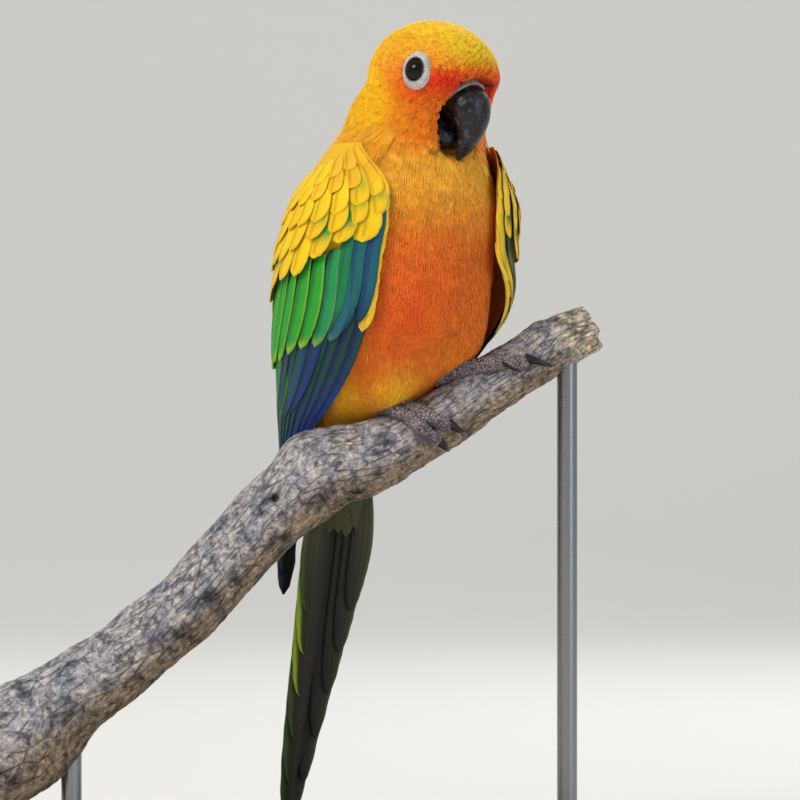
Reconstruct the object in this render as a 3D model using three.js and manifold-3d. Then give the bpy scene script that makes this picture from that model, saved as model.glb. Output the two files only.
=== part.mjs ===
// A life-size sun conure perched on a cut length of branch, held by a plain display stand.
// Millimetres, +Z up. The origin is the middle of the underside of the stand's base. The bird faces -Y, turned
// towards +X, and its own frame has x to its left side, y to its back and z up.
import * as THREE from "three";
import { mergeVertices } from "three/addons/utils/BufferGeometryUtils.js";
import Module from "manifold-3d";

const wasm = await Module();
wasm.setup();

// Gap that touching pieces keep
const GAP = 0.35;
// Slivers flatter than this are merged after a join or a cut
const TIDY = 0.1;

// Stand: a flat base, and two rods that lift the perch until the hanging tail clears the base
const BASE_LENGTH = 236;
const BASE_DEPTH = 124;
const BASE_HEIGHT = 12;
const BASE_CHAMFER = 1.5;
const ROD_RADIUS = 3.5;
const ROD_SOCKET_DEPTH = 6;
const ROD_X = [-112, 58];

// Perch: the branch's centre line, with its radius at each point. The bird's origin lies on it, between the feet.
const PERCH_HEIGHT = 161.5;
const PERCH_PLAN_TURN = 9 * (Math.PI / 180);
const PERCH_STATIONS = [
  { x: -150, z: -124, r: 19.5 },
  { x: -134, z: -112, r: 19 },
  { x: -115, z: -98, r: 14.2 },
  { x: -93.5, z: -83.5, r: 12.5 },
  { x: -75.5, z: -68, r: 12.2 },
  { x: -45.7, z: -37, r: 12.4 },
  { x: -27, z: -21, r: 14.2 },
  { x: -12, z: -16.6, r: 12.8 },
  { x: 4, z: -9, r: 10.6 },
  { x: 25, z: 4, r: 9.9 },
  { x: 44, z: 16.5, r: 9.6 },
  { x: 58.3, z: 25.2, r: 9.1 },
  { x: 68, z: 29.5, r: 8 },
];
// The knob that stands on the bend, the hollow at the thick end and the chip at the broken end
const PERCH_BUMPS = [
  { along: 0.585, around: 0.15, height: 2.6, spread: 0.02, turn: 0.5 },
  { along: 0.5, around: 0.3, height: 0.8, spread: 0.03, turn: 0.6 },
  { along: 0.93, around: 0.2, height: 1.4, spread: 0.02, turn: 0.6 },
  { along: 0.1, around: 3.3, height: 3.2, spread: 0.05, turn: 0.9 },
  { along: 0.08, around: -1.2, height: -2.6, spread: 0.025, turn: 0.45 },
  { along: 0.3, around: 0.2, height: 0.9, spread: 0.04, turn: 0.7 },
];
const PERCH_SIDES = 13;
const PERCH_STEPS = 28;

// Bird's place on the perch
const BIRD_X = -1.4;
const BIRD_TURN = 35 * (Math.PI / 180);

// Torso and neck: level sections from vent to throat, with front, back and half width at each height
const BODY_STATIONS = [
  { z: -14, front: 25, back: 37.5, half: 8.5 },
  { z: 0, front: 1, back: 39, half: 19.5 },
  { z: 10, front: -11, back: 39.5, half: 25.5 },
  { z: 18, front: -19.5, back: 40, half: 30 },
  { z: 28, front: -27, back: 39, half: 33.6 },
  { z: 40, front: -30.8, back: 36.5, half: 35.4 },
  { z: 54, front: -32.5, back: 32, half: 36.5 },
  { z: 68, front: -35, back: 26, half: 35 },
  { z: 80, front: -34.5, back: 22.5, half: 30.5 },
  { z: 90, front: -34, back: 16.8, half: 26.5 },
  { z: 100, front: -35.5, back: 12, half: 24.6 },
  { z: 108, front: -35.5, back: 7.5, half: 22.5 },
  { z: 116, front: -33, back: 0.5, half: 19 },
];
const BODY_SIDES = 20;
const BODY_ROWS = 13;
const NECK_BOTTOM = 88;
const HEAD_CUT_BACK = 108;
const HEAD_CUT_SLOPE = 0.28;

// Wing carrier: the smooth form that the wings lie on. It is the torso's outline down to the belly, and then
// runs on past the vent, outside the tail.
const CARRIER_STATIONS = [
  { z: -66, front: 40, back: 51, half: 13.5 },
  { z: -40, front: 35, back: 48, half: 15.5 },
  { z: -14, front: 24, back: 45, half: 18.5 },
  { z: 4, front: -5, back: 43.6, half: 26.4 },
  { z: 16, front: -19, back: 42.4, half: 30.9 },
  { z: 28, front: -28.1, back: 40.3, half: 34.7 },
  { z: 40, front: -31.8, back: 37.5, half: 36.4 },
  { z: 54, front: -33.3, back: 32.8, half: 37.3 },
  { z: 68, front: -35.8, back: 26.8, half: 35.8 },
  { z: 80, front: -36.6, back: 23.4, half: 31.4 },
  { z: 92, front: -37.4, back: 16.6, half: 27 },
];
// Each wing's front and back edge, as an angle from the breast's middle line, at each height
const WING_EDGES = [
  { z: -66, front: 108, back: 158 },
  { z: -30, front: 91, back: 160 },
  { z: 4, front: 58, back: 164 },
  { z: 28, front: 45, back: 160 },
  { z: 54, front: 41, back: 150 },
  { z: 68, front: 41, back: 142 },
  { z: 80, front: 50, back: 136 },
  { z: 92, front: 76, back: 110 },
];
const WING_CORE_TOP = 91;
const WING_CORE_BOTTOM = 14;
const WING_CORE_THICK = 2.6;
// The left wing's front edge lies further forward on the breast and further back on the belly, in degrees
const WING_EDGE_LEFT = { low: 12, high: -9, from: 28, to: 56 };
// A wing lies flatter towards its front edge and its top, and the left one stands off the belly about one height
const WING_LAY = { front: 0.45, reach: 0.45, top: 0.55, from: 70, to: 90 };
const WING_FLARE = { z: 40, spread: 15, left: 3.2, right: 0 };
// Tiers of wing feathers, from the lowest up. from and to run across the wing at the roots and at the tips, 0 at
// its front edge and 1 at its back edge. root and tip are heights at the tier's front and back ends, and rise is
// how far root and tip stand off the carrier. tilt turns each vane so that it lies over the one in front of it.
const WING_TIERS = [
  {
    count: 6,
    from: [0.05, 0.42],
    to: [0.06, 0.62],
    root: [46, 30],
    tip: [-18, -64],
    rise: [1.3, 0.8],
    stack: 0.45,
    tilt: 7,
    width: 9.5,
    steps: 4,
  },
  {
    count: 4,
    from: [0.4, 0.9],
    to: [0.44, 0.94],
    root: [40, 32],
    tip: [-4, -16],
    rise: [1.2, 3.8],
    stack: 0,
    tilt: 8,
    width: 15,
    steps: 4,
  },
  {
    count: 6,
    from: [0.12, 0.93],
    to: [0.12, 0.95],
    root: [52, 44],
    tip: [23, 9],
    rise: [1, 4.4],
    stack: 0,
    tilt: 9,
    width: 14,
    steps: 3,
  },
  {
    count: 5,
    from: [0.1, 0.92],
    to: [0.1, 0.93],
    root: [70, 56],
    tip: [50, 27],
    rise: [1.2, 4.8],
    stack: 0,
    tilt: 8,
    width: 16,
    steps: 3,
  },
];
const WING_TIDY = 0.13;
const TORSO_TIDY = 0.25;
// Room between the carrier and the wing's inner face
const WING_CLEAR = 0.9;

// Tail: twelve graduated feathers in a narrow fan that hangs behind the perch
const TAIL_TOP = -14 - GAP;
const TAIL_ROOT_Y = 32;
const TAIL_LEAN = 0.235;
const TAIL_PAIRS = [
  { tip: -146, spread: 1.8, width: 11.5, depth: 3.8 },
  { tip: -133, spread: 3.2, width: 11.5, depth: 2.2 },
  { tip: -117, spread: 4.7, width: 11, depth: 0.6 },
  { tip: -101, spread: 6.4, width: 10.5, depth: -1 },
  { tip: -86, spread: 8, width: 10, depth: -2.6 },
  { tip: -71, spread: 9.6, width: 9.5, depth: -4.2 },
];
const TAIL_STAGGER = 0.4;
const VANE_THICK = 0.55;
// Share of its length at which a vane starts to narrow to its tip
const VANE_POINTED = 0.55;

// Head: an egg about its own centre, turned further than the body and tipped down
const HEAD_CENTRE = new THREE.Vector3(0, -22.5, 113);
const HEAD_TURN = 15 * (Math.PI / 180);
const HEAD_TIP = 7 * (Math.PI / 180);
const HEAD_HALF_WIDTH = 22.4;
const HEAD_FRONT = 24;
const HEAD_BACK = 23.5;
const HEAD_UP = 20.5;
const HEAD_DOWN = 23;
const FACE_RECEDE = 7.5;
// Hollow of the face that the bill sits in: an egg about a point forward of and below the head's centre
const FACE_HOLLOW = { f: 18, u: -11.5, x: 9.5, deep: 15, tall: 14.5 };

// Eye, lids and the bare ring round them, set in the head's side
const EYE_FORWARD = 9.5;
const EYE_UP = 4;
const EYE_RADIUS = 4.8;
const EYE_SUNK = 2.9;
const RING_RADIUS = 6.4;
const RING_SIDES = 14;

// Bill: sections along the upper and the lower half, each from its top point to its bottom point, forward and up
// from the head's centre, with its half width
const UPPER_BILL = [
  { topF: 13, topU: 3, lowF: 6.5, lowU: -9.5, w: 6.4 },
  { topF: 19.5, topU: 1.2, lowF: 9.5, lowU: -10.5, w: 6.8 },
  { topF: 23, topU: -1.8, lowF: 12.2, lowU: -11.8, w: 6.7 },
  { topF: 24.9, topU: -6.5, lowF: 14.2, lowU: -13.5, w: 6.1 },
  { topF: 25, topU: -11.5, lowF: 15.2, lowU: -15.5, w: 5.2 },
  { topF: 23.6, topU: -16.5, lowF: 15.3, lowU: -18.3, w: 4.1 },
  { topF: 21, topU: -20.8, lowF: 14.9, lowU: -21.4, w: 2.9 },
  { topF: 17.8, topU: -24.3, lowF: 14.2, lowU: -24, w: 1.7 },
  { topF: 14.8, topU: -26.6, lowF: 13.6, lowU: -26.1, w: 0.5 },
];
const LOWER_BILL = [
  { topF: 2, topU: -9, lowF: 1, lowU: -17.5, w: 6 },
  { topF: 6.5, topU: -11.5, lowF: 4.5, lowU: -20.5, w: 6.2 },
  { topF: 10, topU: -14, lowF: 8.5, lowU: -22, w: 5.8 },
  { topF: 13, topU: -16.5, lowF: 11.8, lowU: -21.8, w: 4.6 },
  { topF: 14.6, topU: -18.3, lowF: 13.6, lowU: -20.3, w: 2.6 },
];
// The cere: a soft band round the upper half's base
const CERE = [
  { topF: 13.5, topU: 4.6, lowF: 8.5, lowU: -9, w: 7.3 },
  { topF: 17.5, topU: 4.2, lowF: 10, lowU: -9.6, w: 7.7 },
  { topF: 20, topU: 2.6, lowF: 11.2, lowU: -9.8, w: 7.2 },
];
const NOSTRIL = { side: 3.4, f: 19, u: 2.4, radius: 1.1 };

// Legs: feathered thighs, bare scaled feet, and toes that wrap the perch, two forward and two back
const THIGHS = {
  right: { x: -6, y: -5, z: 13, rx: 9.5, ry: 10, rz: 11.5 },
  left: { x: 16.5, y: -11.5, z: 27, rx: 8.5, ry: 10, rz: 11.5 },
};
const SHANK_RADIUS = 3.3;
const TOE_RADIUS = 2.9;
// Each foot: where its ankle is, where it stands along the perch, and how far each toe goes round the perch from the
// top, in degrees, and drifts along it
const FEET = {
  right: { ankle: [-10.6, 8.6, 3.4], x: 1, toes: [[117, 9], [103, 15], [-84, 3], [-76, -5]], tilt: -4 },
  left: { ankle: [14.1, -5, 17], x: 20.5, toes: [[60, 18], [86, 27], [-100, 3], [-90, -5]], tilt: 2 },
};
const CLAW_LENGTH_DEG = 34;

// A smooth value between stations: a cubic through them, with each slope set by its neighbours
function between(stations, at, key, by = "z") {
  const last = stations.length - 1;
  if (at <= stations[0][by]) return stations[0][key];
  if (at >= stations[last][by]) return stations[last][key];
  let i = 0;
  while (stations[i + 1][by] < at) i += 1;
  const slope = (k) => {
    const a = stations[Math.max(0, k - 1)];
    const b = stations[Math.min(last, k + 1)];
    return (b[key] - a[key]) / (b[by] - a[by]);
  };
  const span = stations[i + 1][by] - stations[i][by];
  const t = (at - stations[i][by]) / span;
  const [t2, t3] = [t * t, t * t * t];
  return (
    (2 * t3 - 3 * t2 + 1) * stations[i][key] +
    (t3 - 2 * t2 + t) * span * slope(i) +
    (3 * t2 - 2 * t3) * stations[i + 1][key] +
    (t3 - t2) * span * slope(i + 1)
  );
}

const radians = (degrees) => (degrees * Math.PI) / 180;
const smooth = (low, high, x) => {
  const t = Math.min(1, Math.max(0, (x - low) / (high - low)));
  return t * t * (3 - 2 * t);
};
const mix = (a, b, t) => a + (b - a) * t;

// A repeatable draw between -1 and 1
let seed = 20;
function draw() {
  seed = (seed * 1664525 + 1013904223) % 4294967296;
  return seed / 2147483648 - 1;
}

// Closed surface through rings of equal length. The sides named in turned are split along their other diagonal.
// Each end is closed by a fan, or on a crescent by a strip between its outer and its inner arc.
function loft(rings, turned = [], crescent = false) {
  const sides = rings[0].length;
  const points = rings.flat();
  const faces = [];
  for (let r = 0; r + 1 < rings.length; r += 1) {
    for (let s = 0; s < sides; s += 1) {
      const next = (s + 1) % sides;
      const [a, b] = [r * sides + s, r * sides + next];
      if (turned.includes(s)) faces.push(a, b, a + sides, b, b + sides, a + sides);
      else faces.push(a, b, b + sides, a, b + sides, a + sides);
    }
  }
  const top = (rings.length - 1) * sides;
  if (crescent) {
    for (let s = 0; s + 1 < sides / 2; s += 1) {
      const [a, b, c, d] = [s, s + 1, sides - 2 - s, sides - 1 - s];
      faces.push(a, d, c, a, c, b, top + a, top + c, top + d, top + a, top + b, top + c);
    }
  } else {
    const middle = (ring) =>
      ring.reduce((sum, p) => sum.add(p), new THREE.Vector3()).divideScalar(ring.length);
    points.push(middle(rings[0]), middle(rings[rings.length - 1]));
    const [first, last] = [points.length - 2, points.length - 1];
    for (let s = 0; s < sides; s += 1) {
      const next = (s + 1) % sides;
      faces.push(first, next, s, last, top + s, top + next);
    }
  }
  const geometry = new THREE.BufferGeometry().setFromPoints(points);
  geometry.setIndex(faces);
  return geometry;
}

// A closed geometry as a solid that can be joined and cut, turned face out if need be
function solidOf(geometry) {
  const bare = geometry.clone();
  bare.deleteAttribute("normal");
  bare.deleteAttribute("uv");
  const merged = mergeVertices(bare, 1e-4);
  const make = (index) =>
    new wasm.Manifold(
      new wasm.Mesh({
        numProp: 3,
        vertProperties: new Float32Array(merged.attributes.position.array),
        triVerts: new Uint32Array(index),
      }),
    );
  const index = [...merged.index.array];
  const made = make(index);
  if (made.volume() > 0) return made;
  for (let i = 0; i < index.length; i += 3) [index[i + 1], index[i + 2]] = [index[i + 2], index[i + 1]];
  return make(index);
}

const join = (solids) => wasm.Manifold.union(solids);

// The largest closed piece of a solid, without the slivers that joins and cuts leave
function largest(solid, tidy = TIDY) {
  const pieces = solid.simplify(tidy).decompose();
  return pieces.sort((a, b) => b.volume() - a.volume())[0];
}

function geometryOf(solid) {
  const mesh = solid.getMesh();
  const geometry = new THREE.BufferGeometry();
  geometry.setAttribute("position", new THREE.BufferAttribute(new Float32Array(mesh.vertProperties), 3));
  geometry.setIndex(new THREE.BufferAttribute(new Uint32Array(mesh.triVerts), 1));
  geometry.computeVertexNormals();
  return geometry;
}

function moved(solid, matrix) {
  return solid.transform(matrix.elements);
}

// Tube of elliptical sections along a list of {at, side, up, w, h}
function sectionLoft(sections, sides) {
  return loft(
    sections.map(({ at, side, up, w, h }) =>
      Array.from({ length: sides }, (_, i) => {
        const angle = (i / sides) * 2 * Math.PI;
        return at
          .clone()
          .addScaledVector(side, w * Math.cos(angle))
          .addScaledVector(up, h * Math.sin(angle));
      }),
    ),
  );
}

// Perch

const perchLine = new THREE.CatmullRomCurve3(
  PERCH_STATIONS.map(
    ({ x, z }) =>
      new THREE.Vector3(x * Math.cos(PERCH_PLAN_TURN), x * Math.sin(PERCH_PLAN_TURN), PERCH_HEIGHT + z),
  ),
  false,
  "centripetal",
);

// Share of the perch's length at which its centre line reaches x
function perchShare(x) {
  let [low, high] = [0, 1];
  while (high - low > 1e-5) {
    const middle = (low + high) / 2;
    if (perchLine.getPointAt(middle).x < x) low = middle;
    else high = middle;
  }
  return low;
}

function perchFrame(along) {
  const at = perchLine.getPointAt(along);
  const ahead = perchLine.getTangentAt(along);
  const front = new THREE.Vector3().crossVectors(ahead, new THREE.Vector3(0, 0, 1)).normalize();
  const up = new THREE.Vector3().crossVectors(front, ahead).normalize();
  return { at, ahead, front, up };
}

function perchRadius(along) {
  const place = perchLine.getUtoTmapping(along) * (PERCH_STATIONS.length - 1);
  const low = Math.min(Math.floor(place), PERCH_STATIONS.length - 2);
  return mix(PERCH_STATIONS[low].r, PERCH_STATIONS[low + 1].r, place - low);
}

// Bark waves and knobs: how far the surface stands off the plain radius, at an angle from the top towards the front
function perchRelief(along, around) {
  let height = 0.35 * Math.sin(around * 3 + along * 31) + 0.25 * Math.sin(around * 5 - along * 57);
  for (const bump of PERCH_BUMPS) {
    const turn = Math.atan2(Math.sin(around - bump.around), Math.cos(around - bump.around));
    const far = ((along - bump.along) / bump.spread) ** 2 + (turn / bump.turn) ** 2;
    height += bump.height * Math.exp(-far);
  }
  return height;
}

function perchPoint(along, around, off = 0) {
  const { at, front, up } = perchFrame(along);
  const radius = perchRadius(along) + perchRelief(along, around) + off;
  return at
    .addScaledVector(up, radius * Math.cos(around))
    .addScaledVector(front, radius * Math.sin(around));
}

function perchSolid(off) {
  const rings = [];
  for (let step = 0; step <= PERCH_STEPS; step += 1) {
    const along = step / PERCH_STEPS;
    rings.push(
      Array.from({ length: PERCH_SIDES }, (_, i) =>
        perchPoint(along, (i / PERCH_SIDES) * 2 * Math.PI, off),
      ),
    );
  }
  return solidOf(loft(rings));
}

// Stand

function rodPlaces() {
  return ROD_X.map((x) => {
    const along = perchShare(x);
    const at = perchLine.getPointAt(along);
    return { x, y: at.y, top: at.z - perchRadius(along) + ROD_SOCKET_DEPTH };
  });
}

function rodSolid(place, off, extra) {
  const height = place.top - BASE_HEIGHT - GAP + extra;
  const geometry = new THREE.CylinderGeometry(ROD_RADIUS + off, ROD_RADIUS + off, height, 24);
  geometry.rotateX(Math.PI / 2);
  geometry.translate(place.x, place.y, BASE_HEIGHT + GAP + height / 2);
  return solidOf(geometry);
}

function baseSolid() {
  const [l, d, c] = [BASE_LENGTH / 2, BASE_DEPTH / 2, BASE_CHAMFER];
  const outline = (inset, z) =>
    [
      [-l, -d],
      [l, -d],
      [l, d],
      [-l, d],
    ].map(([x, y]) => new THREE.Vector3(x - Math.sign(x) * inset, y - Math.sign(y) * inset, z));
  return solidOf(
    loft([outline(c, 0), outline(0, c), outline(0, BASE_HEIGHT - c), outline(c, BASE_HEIGHT)]),
  );
}

// Bird's torso, neck and head

function sectionPoint(stations, z, angle, off = 0) {
  const front = between(stations, z, "front");
  const back = between(stations, z, "back");
  const half = between(stations, z, "half");
  const middle = (front + back) / 2;
  const depth = (back - front) / 2;
  return new THREE.Vector3(
    (half + off) * Math.sin(angle),
    middle - (depth + off) * Math.cos(angle),
    z,
  );
}

function torsoSolid(off) {
  const bottom = BODY_STATIONS[0].z;
  const top = BODY_STATIONS[BODY_STATIONS.length - 1].z;
  const rings = [];
  for (let row = 0; row <= BODY_ROWS; row += 1) {
    const z = mix(bottom, top, row / BODY_ROWS);
    rings.push(
      Array.from({ length: BODY_SIDES }, (_, i) =>
        sectionPoint(BODY_STATIONS, z, (i / BODY_SIDES) * 2 * Math.PI, off),
      ),
    );
  }
  return solidOf(loft(rings));
}

const headFrame = new THREE.Matrix4()
  .makeTranslation(HEAD_CENTRE)
  .multiply(new THREE.Matrix4().makeRotationZ(HEAD_TURN))
  .multiply(new THREE.Matrix4().makeRotationX(HEAD_TIP));

// Point of the head's surface by its latitude from the chin up and its turn from the bill round to the left
function headPoint(latitude, turn) {
  const up = Math.sin(latitude);
  const forward = Math.cos(latitude) * Math.cos(turn);
  const recede = FACE_RECEDE * Math.max(0, forward) ** 1.5 * Math.min(1, Math.max(0, 0.1 - up) * 1.8);
  return new THREE.Vector3(
    HEAD_HALF_WIDTH * Math.cos(latitude) * Math.sin(turn),
    -forward * (forward > 0 ? HEAD_FRONT : HEAD_BACK) + recede,
    up * (up > 0 ? HEAD_UP : HEAD_DOWN),
  );
}

function headSolid() {
  const [rows, sides] = [12, 20];
  const rings = [];
  for (let row = 1; row < rows; row += 1) {
    const latitude = -Math.PI / 2 + (row / rows) * Math.PI;
    rings.push(Array.from({ length: sides }, (_, i) => headPoint(latitude, (i / sides) * 2 * Math.PI)));
  }
  return solidOf(loft(rings).applyMatrix4(headFrame));
}

function faceHollow() {
  const { f, u, x, deep, tall } = FACE_HOLLOW;
  const geometry = new THREE.SphereGeometry(1, 14, 9);
  geometry.scale(x, deep, tall);
  geometry.translate(0, -f, u);
  return solidOf(geometry.applyMatrix4(headFrame));
}

function eyeFrame(side) {
  const across = HEAD_HALF_WIDTH * Math.sqrt(1 - (EYE_FORWARD / HEAD_FRONT) ** 2 - (EYE_UP / HEAD_UP) ** 2);
  const at = new THREE.Vector3(side * across, -EYE_FORWARD, EYE_UP);
  const out = new THREE.Vector3(
    at.x / HEAD_HALF_WIDTH ** 2,
    at.y / HEAD_FRONT ** 2,
    at.z / HEAD_UP ** 2,
  ).normalize();
  const turn = new THREE.Quaternion().setFromUnitVectors(new THREE.Vector3(0, 1, 0), out);
  return headFrame.clone().multiply(new THREE.Matrix4().compose(at, turn, new THREE.Vector3(1, 1, 1)));
}

function eyeBall(side, off) {
  const geometry = new THREE.SphereGeometry(EYE_RADIUS + off, 12, 8);
  geometry.translate(0, -EYE_SUNK, 0);
  return solidOf(geometry.applyMatrix4(eyeFrame(side)));
}

// The bare ring with the lids' rim at its inner edge: a closed profile turned about the eye's axis
function eyeRing(side) {
  const profile = [
    [5.1, -1.6],
    [RING_RADIUS, -1.6],
    [RING_RADIUS, 0],
    [5.6, 0.5],
    [4.8, 0.65],
    [4.2, 1.15],
    [3.7, 0.95],
    [4.2, 0.1],
    [5.1, -1.6],
  ].map(([r, h]) => new THREE.Vector2(r, h));
  return solidOf(new THREE.LatheGeometry(profile, RING_SIDES).applyMatrix4(eyeFrame(side)));
}

function eyeSocket(side) {
  const reach = (RING_RADIUS + GAP) / Math.cos(Math.PI / RING_SIDES);
  const profile = [
    [0, -1.6 - GAP],
    [reach, -1.6 - GAP],
    [reach, 6],
    [0, 6],
  ].map(([r, h]) => new THREE.Vector2(r, h));
  return solidOf(new THREE.LatheGeometry(profile, RING_SIDES).applyMatrix4(eyeFrame(side)));
}

// Bill halves and cere: an ellipse at each station, between its top and bottom points
function billSolid(stations, off, sides = 12) {
  const point = (f, u) => new THREE.Vector3(0, -f, u);
  const middle = ({ topF, topU, lowF, lowU }) => point((topF + lowF) / 2, (topU + lowU) / 2);
  const last = stations.length - 1;
  const sections = stations.map((station, i) => {
    const half = point(station.topF, station.topU).sub(point(station.lowF, station.lowU)).divideScalar(2);
    const ahead = middle(stations[Math.min(i + 1, last)]).sub(middle(stations[Math.max(i - 1, 0)])).normalize();
    const end = off * ((i === last ? 1 : 0) - (i === 0 ? 1 : 0));
    return {
      at: middle(station).addScaledVector(ahead, end),
      side: new THREE.Vector3(1, 0, 0),
      up: half.clone().normalize(),
      w: station.w + off,
      h: half.length() + off,
    };
  });
  return solidOf(sectionLoft(sections, sides).applyMatrix4(headFrame));
}

function nostrilSolid(side) {
  const geometry = new THREE.SphereGeometry(NOSTRIL.radius, 8, 4);
  geometry.translate(side * NOSTRIL.side, -NOSTRIL.f, NOSTRIL.u);
  return solidOf(geometry.applyMatrix4(headFrame));
}

// Feathers

// A closed vane along a path of frames {at, across, out}: a thin four-sided section that narrows to a blunt tip,
// with both faces split alike
function vaneSolid(frames, width, pointed) {
  const last = frames.length - 1;
  const rings = frames.map(({ at, across, out }, i) => {
    const t = i / last;
    const swell = 0.62 + 0.38 * Math.sin(Math.min(1, t * 1.6) * (Math.PI / 2));
    const close = Math.sqrt(Math.max(0, 1 - Math.max(0, (t - pointed) / (1 - pointed)) ** 2.4));
    const half = Math.max(0.35, (width / 2) * swell * close);
    const deep = (VANE_THICK / 2) * (i === last ? 0.6 : 1);
    const corner = (a, b) => at.clone().addScaledVector(across, a * half).addScaledVector(out, b * deep);
    return [corner(-1, -1), corner(1, -1), corner(1, 1), corner(-1, 1)];
  });
  return solidOf(loft(rings, [2, 3]));
}

// A wing lies on the carrier: side is -1 for the right wing and 1 for the left
function wingEdge(side, z, v) {
  const { low, high, from, to } = WING_EDGE_LEFT;
  const forward = side > 0 ? mix(low, high, smooth(from, to, z)) : 0;
  const front = between(WING_EDGES, z, "front") + forward;
  return side * radians(mix(front, between(WING_EDGES, z, "back"), v));
}

function wingPoint(side, z, v, off) {
  const { front, reach, top, from, to } = WING_LAY;
  const lay = mix(front, 1, smooth(0, reach, v)) * mix(1, top, smooth(from, to, z));
  const stand = side > 0 ? WING_FLARE.left : WING_FLARE.right;
  const flare = stand * Math.exp(-(((z - WING_FLARE.z) / WING_FLARE.spread) ** 2));
  return sectionPoint(CARRIER_STATIONS, z, wingEdge(side, z, v), off * lay + flare + WING_CLEAR);
}

// Wing's core: a thin shell over the carrier, thickest at the shoulder
function wingCore(side) {
  const [rows, sides] = [8, 9];
  const rings = [];
  for (let row = 0; row <= rows; row += 1) {
    const share = row / rows;
    const z = mix(WING_CORE_BOTTOM, WING_CORE_TOP, share);
    const shoulder = Math.exp(-(((share - 0.86) / 0.24) ** 2));
    const round = Math.sqrt(Math.min(1, (1.02 - share) * 9));
    const thick = mix(0.5, 1.5 + WING_CORE_THICK * shoulder, Math.min(1, share * 3)) * round;
    const outer = Array.from({ length: sides + 1 }, (_, i) => {
      const v = i / sides;
      return wingPoint(side, z, v, 0.5 + thick * Math.sqrt(Math.sin(Math.PI * mix(0.02, 0.98, v))));
    });
    const inner = Array.from({ length: sides + 1 }, (_, i) => wingPoint(side, z, 1 - i / sides, 0));
    rings.push([...outer, ...inner]);
  }
  return solidOf(loft(rings, [], true));
}

function wingFeather(side, tier, share) {
  const v0 = mix(tier.from[0], tier.from[1], share);
  const v1 = mix(tier.to[0], tier.to[1], share);
  const rootZ = mix(tier.root[0], tier.root[1], share);
  const tipZ = mix(tier.tip[0], tier.tip[1], share) + draw() * 1.2;
  const stack = tier.stack * share * (tier.count - 1);
  const place = (t) => {
    const off = mix(tier.rise[0], tier.rise[1], t) + stack;
    return wingPoint(side, mix(rootZ, tipZ, t), mix(v0, v1, t), off);
  };
  const frames = Array.from({ length: tier.steps + 1 }, (_, i) => {
    const t = i / tier.steps;
    const at = place(t);
    const ahead = place(Math.min(1, t + 0.02)).sub(place(Math.max(0, t - 0.02))).normalize();
    const z = mix(rootZ, tipZ, t);
    const angle = wingEdge(side, z, mix(v0, v1, t));
    const round = sectionPoint(CARRIER_STATIONS, z, angle + 0.06)
      .sub(sectionPoint(CARRIER_STATIONS, z, angle - 0.06))
      .normalize();
    const out = new THREE.Vector3().crossVectors(round, ahead).normalize();
    if (out.dot(new THREE.Vector3(Math.sin(angle), -Math.cos(angle), 0)) < 0) out.negate();
    const across = new THREE.Vector3().crossVectors(out, ahead).normalize();
    const tilt = radians(tier.tilt) * Math.min(1, t * 3) * side;
    return {
      at,
      across: across.clone().multiplyScalar(Math.cos(tilt)).addScaledVector(out, -Math.sin(tilt)),
      out: out.clone().multiplyScalar(Math.cos(tilt)).addScaledVector(across, Math.sin(tilt)),
    };
  });
  return vaneSolid(frames, tier.width, VANE_POINTED);
}

function wingSolid(side) {
  const pieces = [wingCore(side)];
  for (const tier of WING_TIERS) {
    for (let i = 0; i < tier.count; i += 1) {
      pieces.push(wingFeather(side, tier, i / (tier.count - 1)));
    }
  }
  return largest(join(pieces), WING_TIDY);
}

// Tail feather: it lies in the fan's plane, and runs down and back
function tailFeather(pair, side) {
  const steps = 5;
  const reach = TAIL_TOP - pair.tip;
  const place = (t) => {
    const z = TAIL_TOP - reach * t;
    const fan = 0.55 + 0.62 * Math.sin(Math.min(1, t * 1.5) * (Math.PI / 2)) - 0.2 * t * t;
    const y = TAIL_ROOT_Y + (TAIL_TOP - z) * TAIL_LEAN + pair.depth * Math.min(1, 0.3 + t * 3);
    return new THREE.Vector3(side * pair.spread * fan, y + side * TAIL_STAGGER, z);
  };
  const frames = Array.from({ length: steps + 1 }, (_, i) => {
    const t = i / steps;
    const ahead = place(Math.min(1, t + 0.02)).sub(place(Math.max(0, t - 0.02))).normalize();
    const across = new THREE.Vector3(0, 1, 0).cross(ahead).normalize();
    const out = new THREE.Vector3().crossVectors(ahead, across).normalize();
    return { at: place(t), across, out };
  });
  return vaneSolid(frames, pair.width, VANE_POINTED);
}

// The tail's root: it starts with the torso's own last section, and thins into the fan
function tailCore() {
  const [rows, sides, length] = [4, 18, 46];
  const rings = [];
  for (let row = 0; row <= rows; row += 1) {
    const t = row / rows;
    const z = TAIL_TOP - length * t;
    const thin = (1 - t) ** 1.3;
    rings.push(
      Array.from({ length: sides }, (_, i) => {
        const angle = (i / sides) * 2 * Math.PI;
        const half = mix(7.5, between(BODY_STATIONS, BODY_STATIONS[0].z, "half"), thin);
        return new THREE.Vector3(
          half * Math.sin(angle),
          TAIL_ROOT_Y - 0.8 * thin + (TAIL_TOP - z) * TAIL_LEAN - mix(1.6, 6.4, thin) * Math.cos(angle),
          z,
        );
      }),
    );
  }
  return solidOf(loft(rings));
}

function tailSolid() {
  const pieces = [tailCore()];
  for (const pair of TAIL_PAIRS) {
    for (const side of [-1, 1]) pieces.push(tailFeather(pair, side));
  }
  return largest(join(pieces).trimByPlane([0, 0, -1], -TAIL_TOP), WING_TIDY);
}

// Legs

function thighSolid(side, off) {
  const { x, y, z, rx, ry, rz } = THIGHS[side];
  const geometry = new THREE.SphereGeometry(1, 14, 9);
  geometry.scale(rx + off, ry + off, rz + off);
  geometry.translate(x, y, z);
  return solidOf(geometry);
}

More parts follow.
